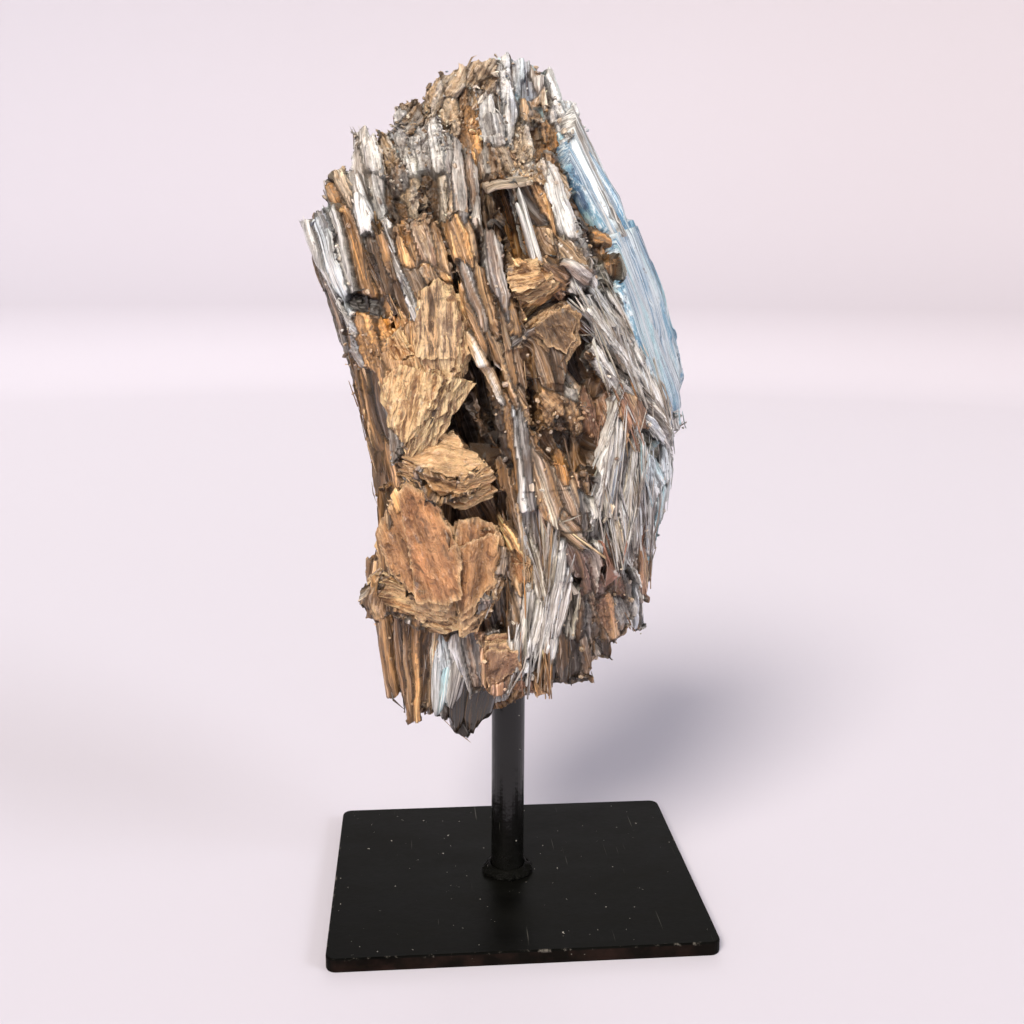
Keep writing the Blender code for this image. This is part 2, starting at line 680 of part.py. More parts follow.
def specimen(group, helpers, material):
    """The core with its blades and books fused on, drilled for the post and its collar."""
    grown = collection("grown_on")
    large_blades(grown)
    mica_books(grown)
    side_blades(grown)
    crown_fill(grown)
    stone = core(group, material)
    fuse(stone, grown)
    fill_pockets(stone)
    hole_radius = POST_RADIUS + GAP
    hole_top = POST_TOP + HOLE_CLEARANCE
    mouth = 40 * MM  # the cutter reaches well below the specimen
    collar = collar_profile(COLLAR_CLEARANCE)
    profile = [
        (0, hole_top),
        (hole_radius, hole_top),
        (hole_radius, collar[0][1]),
        collar[0],
        (collar[1][0], collar[1][1]),
        (collar[1][0], mouth),
        (0, mouth),
    ]
    drill = hide(turned("drill", profile, helpers, steps=24))
    drill.location = (POST_OFFSET, 0, 0)
    cut(stone, drill)
    return stone


def build():
    clear_scene()
    group = collection("kyanite_on_stand")
    helpers = collection("cutters")
    black_paint = finish("black_paint", (0.012, 0.012, 0.011), 0.45, 0.0)
    black_weld = finish("black_weld", (0.02, 0.02, 0.02), 0.55, 0.2)
    black_epoxy = finish("black_epoxy", (0.02, 0.018, 0.016), 0.5, 0.0)
    crystal = finish("kyanite_and_mica", (0.36, 0.27, 0.18), 0.45, 0.0)
    base_plate(group, black_paint)
    post(group, black_paint)
    foot_weld(group, black_weld)
    epoxy_collar(group, black_epoxy)
    specimen(group, helpers, crystal)


build()
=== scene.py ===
"""The looks of a kyanite and mica specimen on its welded steel stand."""

import math
import random

import bmesh
import bpy
import numpy as np
from mathutils import Matrix, Vector, noise
from mathutils.bvhtree import BVHTree
from mathutils.kdtree import KDTree


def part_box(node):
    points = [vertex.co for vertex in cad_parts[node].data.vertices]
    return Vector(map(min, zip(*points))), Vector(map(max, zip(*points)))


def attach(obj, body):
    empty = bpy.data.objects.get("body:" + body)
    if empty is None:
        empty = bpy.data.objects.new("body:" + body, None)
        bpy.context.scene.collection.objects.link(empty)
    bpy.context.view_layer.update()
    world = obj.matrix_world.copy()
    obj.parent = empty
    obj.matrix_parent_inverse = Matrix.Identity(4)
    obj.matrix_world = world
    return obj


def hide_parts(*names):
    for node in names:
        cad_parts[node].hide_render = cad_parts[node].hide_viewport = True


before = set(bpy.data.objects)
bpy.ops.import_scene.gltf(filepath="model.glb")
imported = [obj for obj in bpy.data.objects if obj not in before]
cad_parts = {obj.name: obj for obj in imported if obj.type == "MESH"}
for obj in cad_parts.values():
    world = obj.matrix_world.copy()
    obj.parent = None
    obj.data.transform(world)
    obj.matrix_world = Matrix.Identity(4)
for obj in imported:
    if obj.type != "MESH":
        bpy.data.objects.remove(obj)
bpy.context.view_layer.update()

MM = 0.001
POST_X = -2.0  # mm, as every place and size below unless it says otherwise
POST_RADIUS = 6.0


# ---------------------------------------------------------------- colours


def linear(red, green, blue):
    """A colour as a paint chart gives it, from 0 to 255, as the linear numbers that light adds up in."""
    chart = np.array((red, green, blue)) / 255
    return np.where(chart <= 0.04045, chart / 12.92, ((chart + 0.055) / 1.055) ** 2.4)


PALE = linear(230, 227, 222)
SILVER = linear(180, 174, 167)
STEEL = linear(106, 100, 98)
GREEN_GREY = linear(160, 153, 136)
BLUE = linear(92, 146, 182)
SKY = linear(176, 214, 222)
SAND = linear(204, 182, 154)
TAN = linear(178, 146, 108)
BROWN = linear(108, 77, 44)
DARK_BROWN = linear(56, 38, 19)
UMBER = linear(38, 28, 19)
GOLD = linear(232, 174, 112)
BRIGHT_GOLD = linear(255, 212, 162)
BRONZE = linear(154, 114, 70)
COPPER = linear(206, 142, 94)
PINK_BROWN = linear(150, 108, 84)
RED_BROWN = linear(120, 84, 70)
ORANGE = linear(212, 142, 62)
SMOKE = linear(58, 53, 48)
DEEP_BLUE = linear(54, 82, 118)
GREY_BROWN = linear(136, 115, 98)
SHEET_BROWN = linear(118, 88, 58)
BLUE_WHITE = linear(220, 230, 235)
BLUE_GREY = linear(150, 156, 166)
BLACK_GREEN = linear(46, 44, 32)

# What grows together in one place: each mix lists its colours and their shares.
MIXES = {
    "silver": ((SILVER, 0.45), (PALE, 0.25), (BLUE_GREY, 0.15), (STEEL, 0.15)),
    "bright": ((PALE, 0.5), (SILVER, 0.4), (GREEN_GREY, 0.1)),
    "greenish": ((GREEN_GREY, 0.5), (SILVER, 0.35), (TAN, 0.15)),
    "blue": ((BLUE, 0.3), (BLUE_GREY, 0.2), (SKY, 0.3), (PALE, 0.2)),
    "sky": ((SKY, 0.5), (BLUE_WHITE, 0.35), (BLUE, 0.15)),
    "crumb": ((SAND, 0.45), (TAN, 0.2), (SILVER, 0.17), (BROWN, 0.15), (DARK_BROWN, 0.03)),
    "wood": ((BROWN, 0.5), (BRONZE, 0.25), (TAN, 0.15), (DARK_BROWN, 0.1)),
    "gold": ((GOLD, 0.45), (BRONZE, 0.35), (TAN, 0.2)),
    "bronze": ((BRONZE, 0.5), (BROWN, 0.3), (GOLD, 0.2)),
    "copper": ((COPPER, 0.6), (BRONZE, 0.25), (BROWN, 0.15)),
    "driftwood": ((TAN, 0.3), (SAND, 0.25), (GREY_BROWN, 0.2), (COPPER, 0.25)),
    "pale_gold": ((BRIGHT_GOLD, 0.45), (GOLD, 0.35), (COPPER, 0.2)),
    "sheet_brown": ((SHEET_BROWN, 0.6), (BROWN, 0.4)),
    "rust": ((BROWN, 0.4), (RED_BROWN, 0.35), (DARK_BROWN, 0.25)),
    "red": ((RED_BROWN, 0.55), (BROWN, 0.25), (SILVER, 0.2)),
    "pink": ((PINK_BROWN, 0.6), (TAN, 0.2), (BROWN, 0.2)),
    "orange": ((ORANGE, 0.5), (GOLD, 0.3), (BRONZE, 0.2)),
    # The crystals sunk deepest into the stone's holes are mostly of this mix: their darkness is partly
    # painted shade.
    "dark": ((DARK_BROWN, 0.45), (BROWN, 0.45), (BRONZE, 0.1)),
    "smoke": ((SMOKE, 0.6), (UMBER, 0.4)),
    "mixed": ((SILVER, 0.35), (TAN, 0.35), (BROWN, 0.3)),
    "umber": ((STEEL, 0.25), (DARK_BROWN, 0.4), (BROWN, 0.35)),
    "tan": ((TAN, 0.8), (PALE, 0.2)),
    "sand": ((SAND, 0.8), (TAN, 0.2)),
    "tan_grey": ((GREY_BROWN, 0.45), (BRONZE, 0.35), (GREEN_GREY, 0.2)),
    "pale_edge": ((SILVER, 0.55), (PALE, 0.25), (BLUE_WHITE, 0.2)),
    "steel": ((STEEL, 0.5), (SILVER, 0.25), (BROWN, 0.25)),
    "deep_blue": ((DEEP_BLUE, 0.4), (BLUE_GREY, 0.4), (STEEL, 0.2)),
    "white_blue": ((BLUE_WHITE, 0.6), (SILVER, 0.3), (SKY, 0.1)),
    "blue_grey": ((BLUE_GREY, 0.45), (STEEL, 0.3), (BLUE_WHITE, 0.25)),
    "black_green": ((BLACK_GREEN, 0.6), (GREEN_GREY, 0.4)),
    "orange_crumb": ((TAN, 0.3), (ORANGE, 0.2), (BRONZE, 0.25), (DARK_BROWN, 0.25)),
}

# The crystals that show at the front, as x and z at the lower end and at the upper end, width,
# how far they stand out, and mix.
FRONT_CRYSTALS = (
    # Crown
    (-16, 284, -10, 292, 6.5, 0, "crumb"),
    (-23, 281, -18, 289, 5.9, 0, "crumb"),
    (-30, 275, -26, 284, 5.6, -0.5, "crumb"),
    (-38, 270, -33, 278, 4.9, 0, "mixed"),
    (-16, 277, -10, 284, 5.1, -1, "tan"),
    (-3, 264, -4, 290, 3.5, 0.5, "silver"),
    (2, 284, 1, 292, 4.6, 0, "blue_grey"),
    (4, 279, 3, 287, 3.3, -1, "deep_blue"),
    (7, 282, 7, 290, 3.6, 0, "steel"),
    (21, 268, 11, 289, 4.6, 0.5, "white_blue"),
    (25, 262, 19, 274, 4.2, 0.3, "silver"),
    (9, 275, 9, 284, 3.9, -1, "crumb"),
    (5, 270, 5, 279, 5.3, 0, "mixed"),
    (18, 266, 13, 278, 5.2, 0, "silver"),
    (8, 256, 8, 270, 8.4, -1.5, "orange_crumb"),
    (-7, 264, -10, 278, 6.3, 0.5, "silver"),
    (-16, 260, -17, 281, 4.5, -1, "bronze"),
    (-20, 267, -23, 279, 5.8, -0.5, "crumb"),
    (-26, 257, -28, 269, 3.2, 0.5, "bright"),
    (-23, 254, -25, 269, 2.7, -0.5, "silver"),
    (-31, 256, -32, 269, 2.9, -0.5, "silver"),
    (-35, 256, -36, 265, 2.9, 0, "bright"),
    (-37, 262, -40, 270, 4.2, 0, "silver"),
    (-42, 256, -44, 267, 3.9, -0.5, "tan"),
    (-46, 254, -48, 266, 5.0, 0.5, "bright"),
    (2, 258, 0, 269, 6.4, -0.5, "crumb"),
    (-3, 256, -6, 262, 4.4, -0.5, "crumb"),
    (-49, 235, -52, 257, 3.9, 0.5, "silver"),
    (-53, 243, -57, 254, 4.4, 0, "crumb"),
    (-58, 244, -60, 250, 3.2, -0.5, "orange_crumb"),
    (-42, 235, -47, 254, 4.1, -0.5, "silver"),
    (-38, 249, -40, 257, 4.1, -0.5, "steel"),
    (-40, 238, -43, 249, 2.8, -2.5, "dark"),
    (-34, 240, -36, 251, 5.6, -1.5, "crumb"),
    (-37, 239, -38, 246, 3.8, -2, "dark"),
    (-30, 251, -31, 256, 2.5, -3, "dark"),
    (-28, 241, -28, 251, 4.1, -3, "dark"),
    (-24, 240, -25, 252, 2.7, -1, "crumb"),
    (-19, 239, -22, 262, 3.6, 1, "steel"),
    (-15, 236, -18, 260, 3.3, 0, "steel"),
    (-12, 236, -13, 251, 2.7, -1.5, "wood"),
    (-8, 252, -10, 261, 5.1, 0, "mixed"),
    (4, 251, 1, 257, 6.3, -0.5, "tan"),
    (-9, 236, -11, 247, 3.7, -2.5, "wood"),
    (16, 247, 10, 254, 3.8, -0.5, "tan"),
    # Upper
    (4, 238, -3, 247, 4.8, -1.5, "umber"),
    (7, 227, 2, 238, 4.8, -1, "wood"),
    (15, 227, 6, 256, 4.8, 0.5, "bright"),
    (19, 227, 12, 250, 2.6, -0.3, "silver"),
    (8, 234, 2, 248, 2.7, -1, "bronze"),
    (21, 235, 17, 249, 4.1, -3, "umber"),
    (26, 236, 22, 246, 2.5, -3, "dark"),
    (17, 228, 10, 234, 6.6, -1, "tan"),
    (28, 224, 26, 234, 3.4, -2, "orange_crumb"),
    (29, 233, 22, 236, 3.8, 0, "orange_crumb"),
    (-18, 226, -23, 239, 4.5, 0, "bronze"),
    (-14, 227, -18, 239, 3.3, -0.5, "wood"),
    (-8, 214, -12, 236, 3.9, 0.5, "steel"),
    (-11, 207, -15, 226, 3.3, -0.5, "wood"),
    (-2, 227, -7, 243, 2.8, -2, "orange"),
    (-4, 218, -6, 227, 2.9, -1.5, "wood"),
    (-61, 208, -68, 237, 3.4, 0, "bright"),
    (-56, 215, -64, 242, 3.5, 0, "blue_grey"),
    (-54, 218, -59, 243, 2.8, 0.5, "bright"),
    (-49, 217, -56, 246, 4.0, -0.5, "bronze"),
    (-43, 215, -49, 235, 3.3, -1.2, "dark"),
    (-39, 218, -45, 238, 2.7, -0.3, "wood"),
    (-33, 209, -43, 232, 2.1, 0.5, "silver"),
    (-35, 224, -38, 238, 3.9, -0.5, "bronze"),
    (-29, 226, -33, 239, 4.2, -0.5, "driftwood"),
    (-24, 222, -28, 236, 3.6, 0, "wood"),
    (-31, 216, -36, 225, 4.2, -0.5, "wood"),
    (-28, 219, -31, 226, 3.6, -0.5, "wood"),
    (-19, 209, -26, 225, 3.1, 0, "bronze"),
    (-13, 205, -20, 228, 3.0, 0, "steel"),
    (-47, 213, -56, 215, 4.4, -1.6, "smoke"),
    (-53, 198, -61, 209, 3.3, 0, "blue_grey"),
    (-54, 206, -62, 214, 3.0, 0, "silver"),
    (-41, 209, -45, 215, 3.6, -2, "umber"),
    (-41, 204, -43, 211, 6.2, -1, "orange"),
    (-47, 193, -51, 210, 4.3, 0, "bronze"),
    (-38, 197, -39, 206, 7.8, 0, "gold"),
    (-50, 172, -56, 198, 3.0, -0.5, "wood"),
    (-45, 173, -48, 193, 3.3, -1.5, "umber"),
    # Centre
    (-13, 202, -20, 215, 2.4, 0.5, "bronze"),
    (-8, 185, -18, 204, 2.4, 1, "tan"),
    (-5, 186, -13, 207, 2.8, 0, "wood"),
    (-5, 192, -10, 215, 2.7, -0.5, "wood"),
    (-20, 200, -23, 207, 3.6, -2, "umber"),
    # The big hollow: dark crystals sunk deep, their darkness partly painted shade.
    (-17, 175, -24, 194, 6.9, -5, "dark"),
    (-11, 170, -16, 191, 6.1, -5, "dark"),
    (-36, 170, -31, 186, 3.9, -2, "steel"),
    (-5, 164, -11, 184, 3.7, -1, "umber"),
    (-3, 155, -7, 186, 3.0, 0, "bronze"),
    (-5, 149, -9, 167, 3.7, -0.5, "wood"),
    (0, 135, -5, 180, 2.4, 0.5, "silver"),
    (3, 140, -2, 177, 2.1, 0.5, "steel"),
    (1, 129, -3, 155, 2.5, 0, "tan"),
    (2, 220, -5, 227, 5.9, 0.5, "gold"),
    (1, 217, -3, 220, 4.2, -3, "dark"),
    (8, 220, -4, 209, 3.0, 0, "bronze"),
    (14, 216, -2, 205, 3.1, -0.5, "umber"),
    (-2, 205, -5, 214, 3.0, -1, "wood"),
    (11, 221, 5, 225, 4.1, -0.5, "wood"),
    (18, 221, 10, 227, 4.7, 0, "steel"),
    (28, 220, 20, 227, 4.3, -2, "black_green"),
    (18, 205, 10, 215, 2.8, 0.5, "pink"),
    (37, 193, 15, 218, 3.1, 0.5, "bright"),
    (42, 194, 19, 221, 2.8, 0, "bright"),
    (34, 199, 24, 215, 3.4, -0.3, "bright"),
    (34, 191, 18, 209, 2.8, 0, "bright"),
    (46, 183, 30, 212, 2.6, 0.5, "bright"),
    (51, 183, 36, 210, 2.2, -0.3, "silver"),
    (29, 187, 21, 200, 3.1, -0.3, "bright"),
    (37, 188, 26, 202, 2.5, 0.5, "bright"),
    (38, 186, 30, 191, 4.5, -0.3, "silver"),
    (38, 174, 32, 186, 7.0, 0.5, "pink"),
    (23, 186, 18, 201, 3.4, -2, "wood"),
    (17, 191, 14, 202, 3.1, -2.5, "dark"),
    (12, 188, 9, 200, 3.6, -1.5, "dark"),
    (7, 190, 3, 202, 4.8, -2, "wood"),
    (1, 187, -2, 200, 4.9, -1, "wood"),
    (3, 179, -2, 189, 4.2, -1, "wood"),
    (9, 180, 3, 187, 6.1, 0, "wood"),
    (16, 185, 12, 192, 4.9, -1, "greenish"),
    (17, 174, 13, 185, 4.3, -0.5, "wood"),
    (22, 172, 19, 186, 3.8, -0.5, "pink"),
    (13, 171, 9, 179, 3.7, -3, "dark"),
    (7, 169, 3, 177, 4.4, -1, "wood"),
    (22, 170, 18, 173, 3.8, -2, "dark"),
    (25, 175, 24, 184, 3.2, -1, "pink"),
    (24, 170, 28, 185, 2.2, 1, "bright"),
    (50, 175, 41, 182, 2.6, 0.5, "bright"),
    (52, 166, 41, 177, 3.3, 0.5, "silver"),
    (48, 164, 37, 174, 3.9, -1.5, "black_green"),
    (52, 154, 49, 167, 3.4, 0.5, "white_blue"),
    # Right fan
    (22, 155, 26, 171, 2.5, 1, "bright"),
    (27, 155, 30, 175, 2.5, 0, "silver"),
    (33, 154, 35, 174, 2.6, 0.5, "bright"),
    (49, 151, 42, 163, 4.7, 0.5, "white_blue"),
    (50, 140, 50, 153, 3.1, 0, "sky"),
    (46, 134, 41, 150, 3.7, 0, "silver"),
    (40, 133, 36, 153, 3.0, 0, "bright"),
    (37, 131, 31, 153, 2.6, 0, "silver"),
    (29, 140, 25, 154, 3.2, -0.5, "greenish"),
    (24, 138, 20, 154, 3.2, 0.5, "bright"),
    (29, 134, 27, 141, 2.9, -0.5, "silver"),
    (40, 124, 36, 133, 3.0, 0, "bright"),
    (44, 120, 41, 135, 2.7, 0, "pink"),
    (9, 147, 3, 165, 5.5, 0, "tan_grey"),
    (13, 158, 10, 167, 2.5, -0.5, "orange"),
    (16, 147, 12, 160, 3.7, 0, "tan_grey"),
    (20, 156, 16, 172, 2.8, -1.5, "wood"),
    (21, 157, 20, 168, 2.5, -2, "dark"),
    (20, 142, 18, 154, 2.5, -1, "steel"),
    (16, 143, 10, 150, 4.4, -1, "tan_grey"),
    (20, 138, 13, 144, 3.8, -1, "mixed"),
    (6, 121, 1, 142, 3.8, 0.5, "greenish"),
    (7, 125, 7, 145, 4.1, 0, "greenish"),
    (7, 110, 11, 135, 2.5, 1, "bright"),
    (10, 108, 14, 131, 2.2, 0.5, "silver"),
    (1, 100, 5, 123, 2.9, 0.5, "bright"),
    (-1, 106, 1, 127, 2.8, 0, "greenish"),
    (-5, 91, -2, 109, 2.9, 0.5, "bright"),
    (-2, 94, 3, 105, 2.6, 0, "silver"),
    (15, 106, 17, 125, 2.9, 0, "greenish"),
    (20, 122, 15, 138, 4.8, -1, "red"),
    (26, 121, 21, 136, 4.2, -1.5, "red"),
    (33, 119, 27, 134, 4.3, -1, "rust"),
    (38, 115, 35, 126, 3.3, -1, "steel"),
    (26, 98, 21, 121, 3.9, -1, "umber"),
    (19, 106, 19, 120, 2.6, -0.5, "umber"),
    (30, 104, 27, 119, 4.0, 0, "pink"),
    (35, 107, 32, 118, 4.0, -0.5, "steel"),
    (30, 94, 27, 108, 3.4, -0.5, "umber"),
    (40, 104, 38, 120, 2.3, 0, "silver"),
    (9, 100, 10, 108, 2.6, 0, "bright"),
    (16, 92, 14, 107, 4.6, -1, "umber"),
    (7, 94, 7, 101, 3.6, -1, "wood"),
    (22, 96, 20, 106, 3.3, -0.5, "umber"),
    (28, 94, 26, 99, 3.1, 0, "mixed"),
    # Foot
    (-24, 111, -24, 125, 9.0, -2, "wood"),
    (-45, 136, -48, 158, 3.3, -0.5, "wood"),
    (-39, 149, -44, 165, 3.0, 0, "bronze"),
    (-30, 154, -40, 160, 2.1, -1, "umber"),
    (-9, 145, -15, 155, 3.8, -0.3, "wood"),
    (-16, 147, -21, 157, 4.5, -0.6, "wood"),
    (-2, 136, -9, 148, 2.8, 0.5, "bronze"),
    (-1, 127, -4, 138, 3.4, 0, "wood"),
    (-6, 113, -9, 126, 5.2, -1, "mixed"),
    (-9, 109, -13, 124, 4.2, -1, "steel"),
    (-8, 105, -8, 108, 9.6, 0.5, "tan"),
    (-43, 83, -46, 119, 4.1, 0, "wood"),
    (-39, 83, -42, 109, 3.0, 0, "umber"),
    (-37, 77, -39, 103, 3.0, 0.5, "wood"),
    (-35, 75, -35, 105, 2.7, 0.5, "bronze"),
    (-33, 82, -32, 105, 2.7, -0.5, "dark"),
    (-30, 80, -29, 103, 2.0, 0.5, "tan"),
    (-24, 78, -26, 101, 2.7, 1, "white_blue"),
    (-27, 75, -29, 86, 1.7, 0.5, "bright"),
    (-18, 83, -22, 105, 3.3, 0, "silver"),
    (-15, 87, -18, 107, 3.3, -0.5, "steel"),
    (-13, 91, -13, 107, 2.9, -0.5, "pink"),
    (-7, 91, -7, 104, 9.0, 0.5, "pink"),
    (-18, 68, -24, 80, 7.5, 0, "smoke"),
    (-15, 72, -14, 87, 4.8, 0, "smoke"),
)
# Where each mix shows on the other sides, as x, z, reach in x and in z, and mix.
BACK_PATCHES = (
    (-30, 275, 22, 10, "crumb"),
    (0, 280, 16, 12, "silver"),
    (-50, 240, 16, 20, "steel"),
    (-12, 240, 20, 22, "bright"),
    (28, 230, 18, 26, "sky"),
    (-34, 200, 16, 16, "bronze"),
    (0, 190, 18, 22, "greenish"),
    (38, 180, 16, 26, "blue"),
    (-40, 160, 14, 20, "wood"),
    (-20, 150, 14, 14, "copper"),
    (16, 145, 16, 20, "silver"),
    (44, 130, 12, 24, "bright"),
    (-36, 110, 14, 18, "mixed"),
    (8, 116, 16, 14, "bronze"),
    (30, 100, 14, 14, "wood"),
    (-14, 85, 14, 12, "crumb"),
)
RIGHT_PATCHES = ((40, 205, 60, 50, "sky"), (40, 140, 60, 30, "bright"), (30, 100, 60, 18, "mixed"))
LEFT_PATCHES = ((-60, 225, 60, 40, "steel"), (-50, 165, 60, 30, "wood"), (-40, 110, 60, 24, "bronze"))
UNDER_PATCHES = ((-20, 80, 30, 30, "wood"), (25, 95, 30, 30, "mixed"))


MIX_NUMBERS = {name: number for number, name in enumerate(MIXES)}
MOST_COLOURS = max(len(mix) for mix in MIXES.values())
EVEN_MIXES = [mix + ((mix[-1][0], 0),) * (MOST_COLOURS - len(mix)) for mix in MIXES.values()]
MIX_COLOURS = np.array([[tint for tint, _ in mix] for mix in EVEN_MIXES])
MIX_SHARES = np.array([[share for _, share in mix] for mix in EVEN_MIXES])
MIX_SHARES /= MIX_SHARES.sum(1, keepdims=True)
MIX_MEANS = (MIX_COLOURS * MIX_SHARES[:, :, None]).sum(1)

# The same front crystals in columns: foot, tip, width and how far they stand out.
FRONT_ROWS = np.array([row[:6] for row in FRONT_CRYSTALS], float)
FRONT_MIXES = np.array([MIX_NUMBERS[row[6]] for row in FRONT_CRYSTALS])
FRONT_AXES = FRONT_ROWS[:, 2:4] - FRONT_ROWS[:, 0:2]
FRONT_LENGTHS = np.linalg.norm(FRONT_AXES, axis=1)
FRONT_LEAN = np.arctan2(FRONT_AXES[:, 0], FRONT_AXES[:, 1])  # to the right of upright
FRONT_REACH = 1.8  # how many times its half size away a front crystal still has a say
AT_ONCE = 20000  # points measured to every front crystal in one go


def streak_colours(mixes, marks):
    """The colour in each mix that a mark from 0 to 1 picks."""
    which = (marks[:, None] > np.cumsum(MIX_SHARES[mixes], 1)).sum(1).clip(0, MOST_COLOURS - 1)
    return MIX_COLOURS[mixes, which]


def held(tints):
    """Colours no brighter than stone can be, with their hue kept."""
    return tints * np.minimum(1, 0.84 / np.maximum(tints.max(1, keepdims=True), 1e-6)) + 0.003


def colours_of_mix(name, count, chance):
    """So many colours, drawn from a mix."""
    return streak_colours(np.full(count, MIX_NUMBERS[name]), chance.random(count))


def mean_of_mix(name):
    return MIX_MEANS[MIX_NUMBERS[name]]


def nearest_front(points):
    """For each point: its front crystal, how far across and along it lies, the gap to the next crystal, and
    how many times the crystal's half size it is away."""
    middle = (FRONT_ROWS[:, 0:2] + FRONT_ROWS[:, 2:4]) / 2
    axis = FRONT_AXES / FRONT_LENGTHS[:, None]
    half_width, half_length = FRONT_ROWS[:, 4] / 2, FRONT_LENGTHS / 2
    found = []
    for start in range(0, len(points), AT_ONCE):
        away = points[start : start + AT_ONCE, None, (0, 2)] - middle
        along = (away * axis).sum(2)
        across = away[:, :, 0] * axis[:, 1] - away[:, :, 1] * axis[:, 0]
        reach = (np.abs(across / half_width) ** 2.5 + np.abs(along / half_length) ** 2.5) ** 0.4
        order = np.argpartition(reach, 1, axis=1)
        rank = np.arange(len(away))
        first, second = order[:, 0], order[:, 1]
        gap = (reach[rank, second] - reach[rank, first]) * half_width[first]
        found.append(np.stack([first, across[rank, first], along[rank, first], gap, reach[rank, first]]))
    first, across, along, gap, reach = np.concatenate(found, 1)
    return first.astype(int), across, along, gap, reach


def side_facing(points, normals):
    """Which side each point faces: 0 front, 1 back, 2 right, 3 left, 4 under."""
    facing = np.zeros(len(points), int)
    facing[(normals[:, 1] > 0.3) | (points[:, 1] > 22)] = 1
    facing[(normals[:, 0] > 0.72) & (points[:, 1] > -2)] = 2
    facing[(normals[:, 0] < -0.72) & (points[:, 1] > -8)] = 3
    facing[(normals[:, 2] < -0.6) & (points[:, 2] < 112)] = 4
    return facing


def patch_shares(points, patches):
    """How much each point belongs to each patch, as shares that add up to 1."""
    x, z, reach_x, reach_z = (np.array([patch[i] for patch in patches], float) for i in range(4))
    away = ((points[:, None, 0] - x) / reach_x) ** 2 + ((points[:, None, 2] - z) / reach_z) ** 2
    share = np.exp(-1.6 * np.minimum(away, 60)) + 1e-12
    return share / share.sum(1, keepdims=True)


def mixes_at(points, normals, chance):
    """The mix that grows at each point."""
    mixes = FRONT_MIXES[nearest_front(points)[0]]
    facing = side_facing(points, normals)
    for side, patches in enumerate((BACK_PATCHES, RIGHT_PATCHES, LEFT_PATCHES, UNDER_PATCHES), 1):
        here = np.flatnonzero(facing == side)
        if len(here):
            names = np.array([MIX_NUMBERS[patch[4]] for patch in patches])
            shares = np.cumsum(patch_shares(points[here], patches), 1)
            chosen = (chance.random((len(here), 1)) > shares).sum(1).clip(0, len(patches) - 1)
            mixes[here] = names[chosen]
    return mixes


def crystal_colours(points, normals, chance):
    """A colour for each crystal: one of those of the mix that grows where it stands."""
    colours = streak_colours(mixes_at(points, normals, chance), chance.random(len(points)))
    brightness = np.exp(chance.normal(0, 0.22, (len(points), 1)))
    warmth = 1 + chance.normal(0, 0.04, (len(points), 1)) * np.array((1, 0, -1))
    return held(colours * brightness * warmth)


def ground_colours(points, normals):
    """The average colour of what grows at each point."""
    return MIX_MEANS[mixes_at(points, normals, np.random.default_rng(3))]


# ---------------------------------------------------------------- finishes


class Finish:
    """A material while its nodes are put together."""

    def __init__(self, name):
        self.material = bpy.data.materials.new(name)
        self.material.use_nodes = True
        self.tree = self.material.node_tree
        self.shader = self.tree.nodes["Principled BSDF"]

    def plug(self, socket, value):
        if isinstance(value, bpy.types.NodeSocket):
            self.tree.links.new(value, socket)
        else:
            socket.default_value = colour(value) if isinstance(value, np.ndarray) else value

    def add(self, kind, inputs=None, **settings):
        made = self.tree.nodes.new("ShaderNode" + kind)
        for name, value in settings.items():
            setattr(made, name, value)
        for name, value in (inputs or {}).items():
            self.plug(made.inputs[name], value)
        return made

    def attribute(self, name, output):
        return self.add("Attribute", attribute_name=name).outputs[output]

    def place(self):
        """Object coordinates, in metres."""
        return self.add("TexCoord").outputs["Object"]

    def noise(self, vector, scale, detail=3, roughness=0.55, distortion=0, turn=(0, 0, 0)):
        """Noise with one scale, or with one for each axis of the turned place."""
        if isinstance(scale, tuple):
            inputs = {"Vector": vector, "Scale": scale, "Rotation": turn}
            vector, scale = self.add("Mapping", inputs).outputs["Vector"], 1
        inputs = {"Vector": vector, "Scale": scale, "Detail": detail, "Roughness": roughness}
        return self.add("TexNoise", inputs | {"Distortion": distortion}).outputs["Fac"]

    def between(self, value, low, high, to_low=0.0, to_high=1.0):
        """Maps low to high onto to_low to to_high, and stops there."""
        inputs = {"Value": value, "From Min": low, "From Max": high, "To Min": to_low, "To Max": to_high}
        return self.add("MapRange", inputs).outputs["Result"]

    def maths(self, operation, first, second):
        return self.add("Math", {0: first, 1: second}, operation=operation).outputs[0]

    def times(self, first, second):
        return self.maths("MULTIPLY", first, second)

    def sum(self, total, *parts):
        for part in parts:
            total = self.maths("ADD", total, part)
        return total

    def mix(self, share, first, second, blend="MIX"):
        made = self.add("Mix", data_type="RGBA", blend_type=blend, clamp_result=True)
        self.plug(made.inputs["Factor"], share)
        self.plug(made.inputs[6], first)
        self.plug(made.inputs[7], second)
        return made.outputs[2]

    def blend(self, share, first, second):
        """A number between two numbers."""
        made = self.add("Mix", data_type="FLOAT")
        self.plug(made.inputs[0], share)
        self.plug(made.inputs[2], first)
        self.plug(made.inputs[3], second)
        return made.outputs[0]

    def over(self, base, pattern, low, high, most, tone):
        """Lays a tone over the base: none where the pattern is at low, the most where it is at high."""
        return self.mix(self.between(pattern, low, high, 0, most), base, tone)

    def scaled(self, tone, red, green, blue):
        return self.mix(1.0, tone, np.array((red, green, blue)), "MULTIPLY")

    def shaded(self, tone, shade):
        """A tone, lighter or darker by a number that a pattern gives."""
        grey = self.add("CombineColor", {0: shade, 1: shade, 2: shade}).outputs[0]
        return self.mix(1.0, tone, grey, "MULTIPLY")

    def bump(self, height, strength, distance):
        inputs = {"Height": height, "Strength": strength, "Distance": distance * MM}
        self.plug(self.shader.inputs["Normal"], self.add("Bump", inputs).outputs["Normal"])

    def set(self, **values):
        for name, value in values.items():
            self.plug(self.shader.inputs[name.replace("_", " ")], value)


